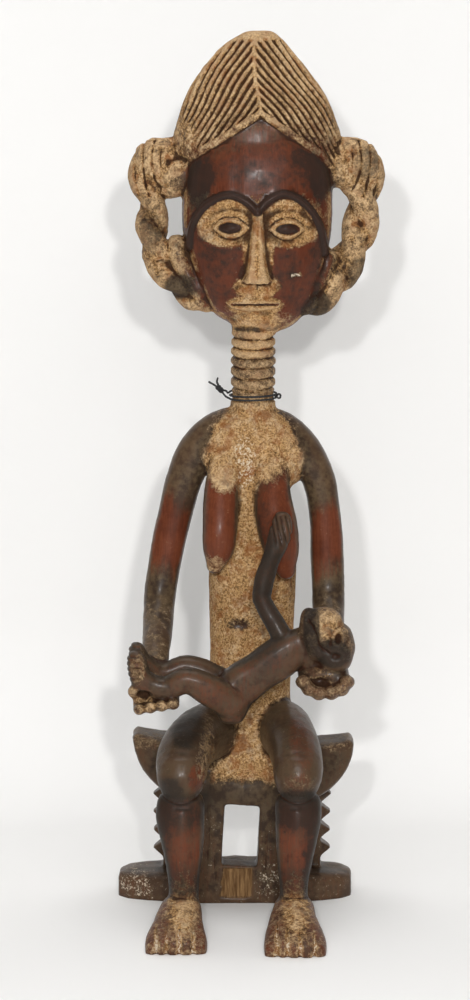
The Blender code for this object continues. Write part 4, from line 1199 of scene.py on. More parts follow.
@dataclass
class Recipe:
    """A material's node tree while it is mixed, read in the piece's own millimetres."""

    name: str
    material: bpy.types.Material = field(init=False)
    tree: bpy.types.NodeTree = field(init=False)
    shader: bpy.types.Node = field(init=False)
    coords: bpy.types.NodeSocket = field(init=False)

    def __post_init__(self) -> None:
        """Start the material with its one shader."""
        self.material = bpy.data.materials.new(self.name)
        self.material.use_nodes = True
        self.tree = self.material.node_tree
        self.shader = self.tree.nodes["Principled BSDF"]
        self.coords = self.tree.nodes.new("ShaderNodeTexCoord").outputs["Object"]

    def put(self, socket: bpy.types.NodeSocket, value: object) -> None:
        """Link a socket, or set it when the value is plain.

        Args:
            socket: The socket to feed.
            value: Another node's socket, a number or a colour.
        """
        if isinstance(value, bpy.types.NodeSocket):
            self.tree.links.new(value, socket)
        elif isinstance(value, tuple) and len(value) == 3 and socket.type == "RGBA":
            socket.default_value = (*value, 1.0)
        else:
            socket.default_value = value

    def stretched(self, sizes: Place) -> bpy.types.NodeSocket:
        """Stretch the coordinates, so that one unit is the given millimetres along each axis.

        Args:
            sizes: The millimetres for each axis.

        Returns:
            The stretched coordinates.
        """
        mapping = self.tree.nodes.new("ShaderNodeMapping")
        self.tree.links.new(self.coords, mapping.inputs["Vector"])
        mapping.inputs["Scale"].default_value = [1.0 / (size * MM) for size in sizes]
        return mapping.outputs["Vector"]

    def noise(self, sizes: float | Place, detail: float = 4.0,
              roughness: float = 0.55, distortion: float = 0.0) -> bpy.types.NodeSocket:
        """Read cloudy noise.

        Args:
            sizes: How large its clouds are, in millimetres, along each axis or all alike.
            detail: How many finer layers it has.
            roughness: How strong the finer layers are.
            distortion: How far it is swirled.

        Returns:
            A value of about 0.5, mostly between 0.3 and 0.7.
        """
        if isinstance(sizes, (int, float)):
            sizes = (sizes, sizes, sizes)
        made = self.tree.nodes.new("ShaderNodeTexNoise")
        self.tree.links.new(self.stretched(sizes), made.inputs["Vector"])
        made.inputs["Scale"].default_value = 1.0
        made.inputs["Detail"].default_value = detail
        made.inputs["Roughness"].default_value = roughness
        made.inputs["Distortion"].default_value = distortion
        return made.outputs["Fac"]

    def grains(self, size: float) -> bpy.types.NodeSocket:
        """Scatter grains over the surface.

        Args:
            size: How far apart the grains lie, in millimetres.

        Returns:
            How far each place lies from the middle of its grain.
        """
        made = self.tree.nodes.new("ShaderNodeTexVoronoi")
        self.tree.links.new(self.stretched((size, size, size)), made.inputs["Vector"])
        made.inputs["Scale"].default_value = 1.0
        return made.outputs["Distance"]

    def maths(self, kind: str, first: object, second: object = 0.0) -> bpy.types.NodeSocket:
        """Work out one sum of two values.

        Args:
            kind: Blender's name for the sum.
            first: A socket or a number.
            second: A socket or a number.

        Returns:
            The result.
        """
        made = self.tree.nodes.new("ShaderNodeMath")
        made.operation = kind
        self.put(made.inputs[0], first)
        self.put(made.inputs[1], second)
        return made.outputs[0]

    def scaled(self, value: object, share: object) -> bpy.types.NodeSocket:
        """Take a share of a value."""
        return self.maths("MULTIPLY", value, share)

    def add(self, *terms: tuple[object, float]) -> bpy.types.NodeSocket:
        """Add up values, each with its own share.

        Args:
            terms: Each value and its share.

        Returns:
            The total.
        """
        total: object = 0.0
        for value, share in terms:
            total = self.maths("ADD", total, self.scaled(value, share))
        return total

    def edge(self, value: bpy.types.NodeSocket, low: float, high: float) -> bpy.types.NodeSocket:
        """Ease from 0 to 1 as a value goes from low to high.

        Args:
            value: The value to read.
            low: Where it gives 0.
            high: Where it gives 1.

        Returns:
            The eased value.
        """
        made = self.tree.nodes.new("ShaderNodeMapRange")
        made.interpolation_type = "SMOOTHSTEP"
        self.put(made.inputs["Value"], value)
        made.inputs["From Min"].default_value = low
        made.inputs["From Max"].default_value = high
        return made.outputs["Result"]

    def blend(self, share: object, low: object, high: object) -> bpy.types.NodeSocket:
        """Mix two colours.

        Args:
            share: How much of the second is taken.
            low: The first colour.
            high: The second colour.

        Returns:
            The mixed colour.
        """
        made = self.tree.nodes.new("ShaderNodeMix")
        made.data_type = "RGBA"
        self.put(made.inputs[0], share)
        self.put(made.inputs[6], low)
        self.put(made.inputs[7], high)
        return made.outputs[2]

    def layer(self, layer: Layer) -> bpy.types.NodeSocket:
        """Read how much of a layer lies here.

        Args:
            layer: The layer to read.

        Returns:
            The value kept on the skin.
        """
        made = self.tree.nodes.new("ShaderNodeAttribute")
        made.attribute_name = layer.value
        return made.outputs["Fac"]

    def bump(self, height: bpy.types.NodeSocket, depth: float) -> None:
        """Raise the surface.

        Args:
            height: A height of 0 to 1.
            depth: The millimetres that a height of 1 stands for.
        """
        made = self.tree.nodes.new("ShaderNodeBump")
        made.inputs["Strength"].default_value = 1.0
        made.inputs["Distance"].default_value = depth * MM
        self.put(made.inputs["Height"], height)
        self.tree.links.new(made.outputs["Normal"], self.shader.inputs["Normal"])


@dataclass(frozen=True)
class HandledWood:
    """Dark wood, polished red by hands, sooted, and crusted with ochre, with painted shade in its
    hollows and on its turned-away sides.
    """

    brown: Colour = (0.038, 0.024, 0.016)
    olive: Colour = (0.115, 0.078, 0.044)
    red_dark: Colour = (0.075, 0.019, 0.009)
    red_light: Colour = (0.155, 0.044, 0.020)
    crust_dark: Colour = (0.155, 0.074, 0.027)
    crust_light: Colour = (0.520, 0.310, 0.130)
    crust_pale: Colour = (0.680, 0.490, 0.290)
    rust: Colour = (0.230, 0.080, 0.022)
    worn_wood: Colour = (0.120, 0.066, 0.037)
    # dark brown laid into the hollows: dirt and painted shade
    groove: Colour = (0.030, 0.012, 0.006)
    # near-black of soot, also used for painted shade
    soot_and_shade: Colour = (0.020, 0.016, 0.013)
    cream: Colour = (0.640, 0.540, 0.410)
    bare_dark: Colour = (0.080, 0.038, 0.015)
    bare_light: Colour = (0.290, 0.170, 0.075)

    def mix(self) -> bpy.types.Material:
        """Mix the finish from the layers kept on the skin.

        Returns:
            The finished material.
        """
        recipe = Recipe("handled_wood")
        fine = recipe.noise(1.1, 6.0, 0.68)
        small = recipe.noise(3.2, 5.0, 0.62)
        broad = recipe.noise(13.0, 4.0, 0.55)
        grain = recipe.noise((1.0, 1.0, 14.0), 5.0, 0.6, 0.4)
        specks = recipe.grains(1.25)
        tiny = recipe.noise(0.6, 3.0, 0.7)
        crust = recipe.edge(recipe.add((recipe.layer(Layer.CRUST), 1.0), (small, 1.3), (fine, 1.0),
                                       (broad, 0.5), (1.0, -1.4)), 0.30, 0.80)
        soot_and_shade = recipe.edge(recipe.add((recipe.layer(Layer.SOOT), 1.0), (small, 0.9), (broad, 0.9),
                                      (1.0, -0.9)), 0.30, 0.80)
        red = recipe.edge(recipe.add((recipe.layer(Layer.RED), 1.0), (broad, 0.9), (grain, 0.7),
                                     (1.0, -0.8)), 0.25, 0.85)
        pale = recipe.edge(recipe.add((recipe.layer(Layer.PALE), 1.0), (fine, 1.8), (small, 0.8),
                                      (1.0, -1.3)), 0.5, 0.72)
        hollow = recipe.layer(Layer.HOLLOW)
        bare = recipe.layer(Layer.BARE)
        streaks = recipe.add((small, 0.6), (broad, 0.6))
        patina = recipe.blend(recipe.edge(streaks, 0.48, 0.76), self.brown, self.olive)
        rubbed = recipe.add((grain, 0.35), (broad, 0.4), (small, 0.25))
        polished = recipe.blend(recipe.edge(rubbed, 0.36, 0.66), self.red_dark, self.red_light)
        colour = recipe.blend(red, patina, polished)
        crumbs = recipe.add((fine, 0.65), (tiny, 0.5), (specks, 0.10))
        ochre = recipe.blend(recipe.edge(crumbs, 0.50, 0.74), self.crust_dark, self.crust_light)
        dusted = recipe.add((fine, 0.5), (small, 0.6), (broad, 0.3))
        ochre = recipe.blend(recipe.edge(dusted, 0.66, 0.92), ochre, self.crust_pale)
        rusty = recipe.edge(recipe.noise(6.5, 4.0, 0.6, 0.3), 0.48, 0.66)
        ochre = recipe.blend(recipe.scaled(rusty, 0.75), ochre, self.rust)
        flaked = recipe.edge(recipe.add((broad, 0.6), (small, 0.5)), 0.58, 0.76)
        ochre = recipe.blend(recipe.scaled(flaked, 0.4), ochre, self.brown)
        colour = recipe.blend(crust, colour, ochre)
        # soot and painted shade darken the colour
        colour = recipe.blend(recipe.scaled(soot_and_shade, 0.9), colour, self.soot_and_shade)
        colour = recipe.blend(pale, colour, self.cream)
        # painted shade, with dirt: the sunk places are darkened towards the groove colour
        sunk = recipe.scaled(recipe.edge(hollow, 0.12, 0.62), 0.9)
        colour = recipe.blend(sunk, colour, self.groove)
        clean = recipe.maths("SUBTRACT", 1.0, recipe.scaled(soot_and_shade, 0.8))
        raised = recipe.edge(recipe.scaled(hollow, -1.0), 0.1, 0.8)
        worn = recipe.scaled(recipe.scaled(raised, 0.35), clean)
        bright = recipe.blend(red, self.worn_wood, self.red_light)
        colour = recipe.blend(worn, colour, recipe.blend(crust, bright, self.crust_pale))
        planed = recipe.blend(recipe.edge(recipe.noise((0.9, 0.9, 12.0), 5.0, 0.6), 0.28, 0.78),
                              self.bare_dark, self.bare_light)
        colour = recipe.blend(bare, colour, planed)
        recipe.put(recipe.shader.inputs["Base Color"], colour)
        matt = recipe.maths("MAXIMUM", crust, recipe.maths("MAXIMUM", pale, bare))
        polish = recipe.add((1.0, 0.27), (fine, 0.14), (soot_and_shade, 0.12))
        rough = recipe.maths("MAXIMUM", polish, recipe.scaled(matt, 0.85))
        recipe.put(recipe.shader.inputs["Roughness"], rough)
        gritty = recipe.scaled(crust, recipe.add((fine, 1.0), (specks, 0.5)))
        recipe.bump(recipe.add((gritty, 1.0), (grain, 0.14), (small, 0.12)), 0.55)
        recipe.shader.inputs["Specular IOR Level"].default_value = 0.11
        recipe.put(recipe.shader.inputs["Coat Weight"],
                   recipe.scaled(recipe.maths("SUBTRACT", 1.0, matt), 0.05))
        recipe.shader.inputs["Coat Roughness"].default_value = 0.16
        return recipe.material


@dataclass(frozen=True)
class BlackString:
    """Waxed black string with a dusty, fibrous surface."""

    dark: Colour = (0.008, 0.008, 0.009)
    dusty: Colour = (0.045, 0.042, 0.042)

    def mix(self) -> bpy.types.Material:
        """Mix the string's finish.

        Returns:
            The finished material.
        """
        recipe = Recipe("black_string")
        fibre = recipe.noise(0.35, 4.0, 0.6)
        recipe.put(recipe.shader.inputs["Base Color"],
                   recipe.blend(recipe.edge(fibre, 0.4, 0.75), self.dark, self.dusty))
        recipe.put(recipe.shader.inputs["Roughness"], recipe.add((1.0, 0.45), (fibre, 0.4)))
        recipe.bump(fibre, 0.12)
        return recipe.material


@dataclass(frozen=True)
class PaleSweep:
    """Matt off-white paint for the floor and backdrop."""

    colour: Colour = (0.93, 0.925, 0.915)

    def mix(self) -> bpy.types.Material:
        """Mix the paint with a faint unevenness.

        Returns:
            The finished material.
        """
        recipe = Recipe("pale_sweep")
        cloud = recipe.noise(160.0, 2.0, 0.5)
        tone = tuple(value * 0.985 for value in self.colour)
        recipe.put(recipe.shader.inputs["Base Color"], recipe.blend(cloud, tone, self.colour))
        recipe.shader.inputs["Roughness"].default_value = 0.9
        return recipe.material


@dataclass
class Patina:
    """Where each layer lies on the carving: a wear for each place, and the stains over it."""

    wears: dict[Part, Wear] = field(default_factory=lambda: {
        Part.TRUNK: Wear(crust=0.95, red=0.2, soot_and_shade=0.05),
        Part.NECK: Wear(crust=0.62, red=0.2, soot_and_shade=0.38),
        Part.BREAST: Wear(crust=0.05, red=0.85, soot_and_shade=0.15),
        Part.ARM: Wear(crust=0.04, red=0.95, soot_and_shade=0.12),
        Part.HAND: Wear(crust=0.42, red=0.35, soot_and_shade=0.3),
        Part.THIGH: Wear(crust=0.14, red=0.0, soot_and_shade=0.42),
        Part.SHIN: Wear(crust=0.02, red=0.62, soot_and_shade=0.34),
        Part.FOOT: Wear(crust=0.36, red=0.55, soot_and_shade=0.34, pale=0.16),
        Part.CHILD: Wear(crust=0.08, red=0.42, soot_and_shade=0.42),
        Part.CHILD_HEAD: Wear(crust=0.4, red=0.3, soot_and_shade=0.4),
        Part.FACE: Wear(crust=0.02, red=1.1, soot_and_shade=0.0),
        Part.CREST: Wear(crust=0.85, red=0.3, soot_and_shade=0.05),
        Part.PLAIT: Wear(crust=0.75, red=0.25, soot_and_shade=0.1),
        Part.STOOL: Wear(crust=0.1, red=0.28, soot_and_shade=0.42),
    })
    stains: tuple[Stain, ...] = (
        Stain(Layer.SOOT, (-19, 400), (7, 20), 0.5, (Part.FACE,)),
        Stain(Layer.SOOT, (45, 400), (6, 20), 0.4, (Part.FACE,)),
        Stain(Layer.SOOT, (-33, 366), (5, 14), 0.3, (Part.FACE,)),
        Stain(Layer.CRUST, (11.5, 318), (11, 8), 0.45, (Part.FACE,)),
        Stain(Layer.CRUST, (32.2, 343.4), (3.6, 0.9), 1.0, (Part.FACE,), 0.3),
        Stain(Layer.PALE, (32.2, 343.4), (3.4, 0.7), 0.9, (Part.FACE,), 0.3),
        Stain(Layer.SOOT, (44, 412), (13, 15), 0.45, (Part.CREST,)),
        Stain(Layer.PALE, (-31, 408), (6, 8), 0.3, (Part.CREST,)),
        Stain(Layer.SOOT, (-45, 366), (7, 14), 0.5, (Part.PLAIT,)),
        Stain(Layer.SOOT, (-30, 336), (9, 7), 0.75, (Part.PLAIT,)),
        Stain(Layer.SOOT, (66, 343), (8, 10), 0.55, (Part.PLAIT,)),
        Stain(Layer.SOOT, (42, 326), (10, 9), 0.9, (Part.PLAIT,)),
        Stain(Layer.SOOT, (70, 402), (8, 10), 0.45, (Part.PLAIT,)),
        Stain(Layer.CRUST, (9, 308), (16, 9), 0.7, (Part.NECK, Part.FACE)),
        Stain(Layer.SOOT, (7, 311), (8, 4), 0.45, (Part.NECK, Part.FACE)),
        Stain(Layer.PALE, (5, 243), (7, 18), 0.5, (Part.TRUNK,)),
        Stain(Layer.SOOT, (26, 180), (7, 40), 0.3, (Part.TRUNK,), 1.0),
        Stain(Layer.SOOT, (38, 246), (15, 22), 0.1, (Part.ARM, Part.TRUNK)),
        Stain(Layer.SOOT, (-21, 243), (13, 20), 0.08, (Part.ARM, Part.TRUNK)),
        Stain(Layer.RED, (-20, 250), (24, 30), -1.1, (Part.ARM,), 1.0),
        Stain(Layer.RED, (38, 248), (24, 32), -1.1, (Part.ARM,), 1.0),
        Stain(Layer.CRUST, (9, 258), (20, 9), 0.9, (Part.ARM, Part.TRUNK)),
        Stain(Layer.RED, (-43, 150), (16, 34), -0.95, (Part.ARM,), 1.0),
        Stain(Layer.RED, (53, 150), (16, 34), -0.95, (Part.ARM,), 1.0),
        Stain(Layer.CRUST, (-43, 150), (14, 18), 0.22, (Part.ARM,)),
        Stain(Layer.CRUST, (53, 150), (14, 18), 0.22, (Part.ARM,)),
        Stain(Layer.CRUST, (-6, 240), (9, 12), 0.85, (Part.BREAST,)),
        Stain(Layer.CRUST, (17, 241), (9, 9), 0.75, (Part.BREAST,)),
        Stain(Layer.CRUST, (-11, 189), (7, 5), 0.55, (Part.BREAST,)),
        Stain(Layer.SOOT, (15, 212), (5, 20), 0.35, (Part.BREAST,)),
        Stain(Layer.CRUST, (2.5, 154), (6.8, 3.2), -0.55, (Part.TRUNK,)),
        Stain(Layer.RED, (2.5, 154), (6.5, 4.5), 0.25, (Part.TRUNK,)),
        Stain(Layer.PALE, (5, 104), (14, 8), 0.25, (Part.TRUNK,)),
        Stain(Layer.CRUST, (3, 54), (34, 15), -0.9, (Part.TRUNK,), 0.7),
        Stain(Layer.SOOT, (3, 52), (34, 14), 0.3, (Part.TRUNK, Part.STOOL)),
        Stain(Layer.RED, (-20, 84), (5, 8), 0.65, (Part.THIGH,)),
        Stain(Layer.RED, (33, 82), (9, 6), 0.4, (Part.THIGH,)),
        Stain(Layer.CRUST, (34, 80), (8, 8), 0.2, (Part.THIGH,)),
        Stain(Layer.RED, (36, 104), (8, 16), 0.5, (Part.THIGH,)),
        Stain(Layer.CRUST, (-15, 92), (5, 16), 0.38, (Part.THIGH,), 1.0),
        Stain(Layer.SOOT, (-26, 108), (9, 9), 0.4, (Part.THIGH,), 1.0),
        Stain(Layer.SOOT, (34, 73), (10, 5), 0.45, (Part.THIGH, Part.SHIN), 1.0),
        Stain(Layer.SOOT, (-34, 79), (6, 6), 0.4, (Part.THIGH,), 1.0),
        Stain(Layer.SOOT, (-29, 68), (15, 11), 0.4, (Part.SHIN,), 1.0),
        Stain(Layer.SOOT, (33, 68), (15, 11), 0.4, (Part.SHIN,), 1.0),
        Stain(Layer.SOOT, (-27, 29), (15, 9), 0.25, (Part.SHIN,), 1.0),
        Stain(Layer.SOOT, (32, 29), (15, 9), 0.25, (Part.SHIN,), 1.0),
        # soot and painted shade darken the outer side of the left shin
        Stain(Layer.SOOT, (-40, 50), (6, 32), 0.35, (Part.SHIN,), 1.0),
        Stain(Layer.CRUST, (-27, 22), (8, 14), 0.5, (Part.SHIN, Part.FOOT), 1.0),
        Stain(Layer.CRUST, (32, 22), (8, 14), 0.42, (Part.SHIN, Part.FOOT), 1.0),
        # soot and painted shade darken the outer side of the right shin
        Stain(Layer.SOOT, (43, 50), (6, 32), 0.35, (Part.SHIN,), 1.0),
        Stain(Layer.PALE, (-54, 8), (10, 7), 0.22, (Part.STOOL,)),
        Stain(Layer.PALE, (20, 12), (8, 12), 0.14, (Part.STOOL,)),
        Stain(Layer.RED, (56, 9), (14, 10), 0.9, (Part.STOOL,)),
        Stain(Layer.SOOT, (56, 9), (12, 8), -0.4, (Part.STOOL,)),
        Stain(Layer.CRUST, (-50, 88), (14, 5), 0.3, (Part.STOOL,)),
        Stain(Layer.CRUST, (57, 88), (14, 5), 0.3, (Part.STOOL,)),
        Stain(Layer.CRUST, (51, 140), (12, 12), -0.3, (Part.CHILD_HEAD,)),
        Stain(Layer.SOOT, (51, 149), (8, 7), 0.8, (Part.CHILD_HEAD,)),
        Stain(Layer.CRUST, (-51, 141), (5, 8), 0.4, (Part.CHILD,)),
        Stain(Layer.SOOT, (17, 178), (12, 34), 0.35, (Part.CHILD,), 1.0),
        Stain(Layer.SOOT, (40, 162), (4, 13), 0.7, (Part.CHILD_HEAD,)),
        Stain(Layer.CRUST, (49, 164), (8, 8), 0.35, (Part.CHILD_HEAD,)),
        Stain(Layer.CRUST, (-45, 127), (12, 9), 0.2, (Part.HAND,)),
    )
    sharpness: float = 9.0

    def shares(self, spots: Spots, forms: Forms) -> Shares:
        """Work out how far each spot belongs to each place of the carving.

        Args:
            spots: Places on the skin.
            forms: The rough forms and their places.

        Returns:
            A share for each place, which add up to 1 at each spot.
        """
        closeness = {part: np.zeros(len(spots.points)) for part in Part}
        for part, limb in forms:
            nearest = np.full(len(spots.points), 1e9)
            for row in spline(limb.stations, max(2, limb.steps)):
                offset = spots.points - row[:3]
                away = np.sqrt((offset ** 2).sum(axis=1)) / math.sqrt(row[3] * row[4])
                nearest = np.minimum(nearest, away)
            closeness[part] = np.maximum(closeness[part], np.exp(-self.sharpness * (nearest - 1.0)))
        total = sum(closeness.values())
        return {part: value / total for part, value in closeness.items()}

    def layers(self, spots: Spots, shares: Shares) -> Layers:
        """Lay the wears and the stains.

        Args:
            spots: Places on the skin.
            shares: How far each spot belongs to each place.

        Returns:
            How much of each layer lies on each spot.
        """
        made = {layer: sum(self.wears[part].of(layer) * shares[part] for part in Part)
                for layer in (Layer.CRUST, Layer.RED, Layer.SOOT, Layer.PALE)}
        in_front = smooth_step(spots.ahead / 0.5 + 0.6)
        for stain in self.stains:
            here = patch(spots.x, spots.z, stain.centre, stain.halves, stain.soft)
            here = here * sum(shares[part] for part in stain.parts) * in_front
            made[stain.layer] = made[stain.layer] + stain.amount * here
        return made


@dataclass
class Carving:
    """The whole figure, one block of wood: rough forms fused, carved, thinned and finished."""

    trunk: Trunk = field(default_factory=Trunk)
    arms: Arms = field(default_factory=Arms)
    legs: Legs = field(default_factory=Legs)
    child: Child = field(default_factory=Child)
    head: Head = field(default_factory=Head)
    stool: Stool = field(default_factory=Stool)
    finish: HandledWood = field(default_factory=HandledWood)
    patina: Patina = field(default_factory=Patina)
    grain: float = 0.72
    triangles: int = 190000

    def forms(self) -> Forms:
        """List every rough form of the figure and the place that it belongs to.

        Returns:
            The forms of all the sub-assemblies, the stool's seat last.
        """
        made: Forms = []
        for piece in (self.trunk, self.arms, self.legs, self.child, self.head, self.stool):
            made += piece.forms()
        return made

    def rough_out(self) -> bpy.types.Object:
        """Model every rough form and fuse them into one skin.

        Returns:
            The fused block.
        """
        blocks = self.stool.boards()
        limbs = [limb.model(f"{part.value}_form") for part, limb in self.forms()]
        self.stool.cut_window([blocks[0], limbs[-1]])
        rough = join(blocks + limbs, "rough_figure")
        apply_modifier(rough, "REMESH", mode="VOXEL", voxel_size=self.grain * MM, adaptivity=0.0)
        return rough

    def relief(self, spots: Spots) -> np.ndarray:
        """Add up the carving of every sub-assembly and the marks of the tools.

        Args:
            spots: Where to work the relief out.

        Returns:
            How far the skin stands out at each spot, in millimetres.
        """
        total = self.trunk.relief(spots) + self.arms.relief(spots) + self.legs.relief(spots)
        total += self.child.relief(spots) + self.head.relief(spots) + self.stool.relief(spots)
        along_grain = spots.points * np.array([1.0, 1.0, 0.45])
        marks = 0.28 * lumps(along_grain, 7.0, 1) + 0.10 * lumps(spots.points, 2.4, 2)
        return total + marks

    def model(self) -> bpy.types.Object:
        """Carve the figure.

        Returns:
            The finished piece.
        """
        rough = self.rough_out()
        skin = Skin.of(rough)
        bpy.data.objects.remove(rough, do_unlink=True)
        skin.keep_largest()
        skin.points = skin.relaxed(7, 0.5)
        spots = skin.spots()
        skin.points = skin.points + spots.facing * self.relief(spots)[:, None] * MM
        skin.points = skin.relaxed(1, 0.25)
        mesh = bpy.data.meshes.new("mother_and_child")
        mesh.from_pydata(skin.points.tolist(), [], skin.faces.tolist())
        figure = bpy.data.objects.new("mother_and_child", mesh)
        bpy.context.scene.collection.objects.link(figure)
        make_active(figure)
        bpy.ops.object.mode_set(mode="EDIT")
        bpy.ops.mesh.select_all(action="SELECT")
        bpy.ops.mesh.bisect(plane_co=(0, 0, 0), plane_no=(0, 0, 1), clear_inner=True, use_fill=True)
        bpy.ops.mesh.select_all(action="SELECT")
        bpy.ops.mesh.quads_convert_to_tris()
        bpy.ops.object.mode_set(mode="OBJECT")
        apply_modifier(figure, "DECIMATE", ratio=min(1.0, self.triangles / len(figure.data.polygons)))
        self.dress(figure)
        return figure

    def dress(self, figure: bpy.types.Object) -> None:
        """Lay the patina on the figure's skin and give it its material.

        Args:
            figure: The carved piece, all of triangles.
        """
        skin = Skin.of(figure)
        spots = skin.spots()
        shares = self.patina.shares(spots, self.forms())
        layers = self.patina.layers(spots, shares)
        # how far each point is sunk below the softened skin; the finish paints shade and dirt into these
        # hollows and lightens the raised places as rubbed wear
        sunk = ((skin.relaxed(8, 0.6) - skin.points) * spots.facing).sum(axis=1) / MM
        layers[Layer.HOLLOW] = np.clip(sunk / 0.42, -1.0, 1.0) * (1.0 - 0.55 * shares[Part.TRUNK])
        layers[Layer.BARE] = self.stool.bare_patch(spots)
        self.tint_face(spots, shares, layers)
        self.tint_body(spots, shares, layers)
        self.tint_back(spots, layers)
        for layer, values in layers.items():
            held = figure.data.attributes.new(layer.value, "FLOAT", "POINT")
            held.data.foreach_set("value", np.clip(values, -1.0, 1.5).astype(np.float32))
        figure.data.materials.append(self.finish.mix())
        make_active(figure)
        bpy.ops.object.shade_smooth()

    def tint_face(self, spots: Spots, shares: Shares, layers: Layers) -> None:
        """Crust the eyes, the nose and the mouth of the mask, and leave its brows dark.

        Args:
            spots: Places on the skin.
            shares: How far each spot belongs to each place.
            layers: The layers to change.
        """
        x, z = spots.x, spots.z
        above = self.head.above_hairline(spots)
        skin = np.clip(shares[Part.FACE] * 1.6, 0, 1) * smooth_step((-above - 0.6) / 1.6)
        skin = skin * (z > 312) * (spots.y < 6)
        face = skin * smooth_step((spots.ahead - 0.1) / 0.3) * (z < 395)
        brow_line = self.head.brow_distance(spots)
        brow = ridge(brow_line, 3.0)
        forehead = skin * smooth_step((z - 384) / 8)
        layers[Layer.CRUST] = layers[Layer.CRUST] * (1 - forehead) - 0.6 * forehead
        layers[Layer.RED] = np.maximum(layers[Layer.RED], forehead)
        layers[Layer.SOOT] += 0.4 * forehead * smooth_step((0.84 - spots.ahead) / 0.4)
        layers[Layer.SOOT] += 0.55 * ridge(above + 3.5, 3.5) * skin
        crust = np.zeros_like(x)
        for eye_x, eye_z in self.head.eyes:
            outward = 2.5 if eye_x > 10 else -2.5
            over = patch(x, z, (eye_x + outward, eye_z), (17.0, 17.0), 0.2) * (z >= eye_z)
            under = patch(x, z, (eye_x + 0.4 * outward, eye_z), (16.0, 10.0), 0.35) * (z < eye_z)
            crust = np.maximum(crust, np.maximum(over, under))
        for stain in self.head.crusts:
            here = patch(x, z, stain.centre, stain.halves, stain.soft)
            crust = np.maximum(crust, stain.amount * here)
        crust = np.maximum(crust, 0.75 * smooth_step((0.66 - spots.ahead) / 0.25) * (z < 392))
        crust = np.maximum(crust, 0.42 * ridge(brow_line - 5.0, 4.0) * (z > 374))
        crust *= 1 - smooth_step(brow * 2.6)
        for eye in self.head.eyes:
            ball = patch(x, z, eye, self.head.ball_halves, 0.25)
            crust *= 1 - ball
            layers[Layer.CRUST] -= 0.8 * ball * face
            layers[Layer.SOOT] += 0.3 * ball * face
            span, lid = self.head.lids(spots, eye)
            # painted shade in the lid grooves and in the dip round each eyeball
            layers[Layer.SOOT] += 0.6 * ridge(np.abs(lid - 1.9), 0.6) * (span < 1.2) * face
            rim = np.abs(self.head.eyeball(spots, eye) - 1.1)
            layers[Layer.SOOT] += 0.6 * ridge(rim, 0.2) * face
        crust *= 1 - ridge(np.abs(z - self.head.mouth_level), 0.9) * (np.abs(x - 10.5) < 13)
        layers[Layer.CRUST] += 0.95 * crust * face
        layers[Layer.HOLLOW] *= 1 - 0.35 * np.clip(crust, 0, 1) * face
        layers[Layer.SOOT] -= 0.35 * np.clip(crust, 0, 1) * face
        layers[Layer.SOOT] += 0.8 * smooth_step(brow * 1.6) * face
        layers[Layer.PALE] += 0.28 * patch(x, z, (1.5, 352), (4, 15), 0.5) * face

    def tint_body(self, spots: Spots, shares: Shares, layers: Layers) -> None:
        """Paint shade and thin the red on the sides that turn away, clear the stool's panel and pale the
        toe wedges.

        Args:
            spots: Places on the skin.
            shares: How far each spot belongs to each place.
            layers: The layers to change.
        """
        # painted shade, with less rubbed red polish: sides turning away from the front are darkened
        aside = smooth_step((0.78 - spots.ahead) / 0.5)
        limbs = shares[Part.ARM] + shares[Part.SHIN] + shares[Part.BREAST] + shares[Part.CHILD]
        layers[Layer.RED] -= 0.55 * aside * limbs
        layers[Layer.SOOT] += 0.18 * aside * (limbs + shares[Part.TRUNK])
        panel = smooth_step((62 - spots.z) / 16) * smooth_step((spots.y + 45) / 8)
        panel = panel * (1 - shares[Part.FOOT])
        layers[Layer.CRUST] = layers[Layer.CRUST] * (1 - panel) + 0.1 * panel
        layers[Layer.SOOT] = layers[Layer.SOOT] * (1 - panel) + 0.34 * panel
        layers[Layer.RED] = layers[Layer.RED] * (1 - panel) + 0.32 * panel
        layers[Layer.PALE] += 0.27 * panel
        wedges = sum(self.legs.toe_wedge(spots, cut, 1.5) for cut in self.legs.toe_cuts)
        wedges = np.clip(wedges, 0, 1)
        layers[Layer.PALE] += 0.45 * wedges
        layers[Layer.CRUST] += 0.6 * wedges
        layers[Layer.HOLLOW] *= 1 - 0.8 * wedges

    def tint_back(self, spots: Spots, layers: Layers) -> None:
        """Leave the back plainer and darker, with less crust.

        Args:
            spots: Places on the skin.
            layers: The layers to change.
        """
        behind = smooth_step((-spots.ahead - 0.1) / 0.6)
        layers[Layer.CRUST] = layers[Layer.CRUST] * (1 - 0.55 * behind)
        layers[Layer.SOOT] = layers[Layer.SOOT] + 0.25 * behind


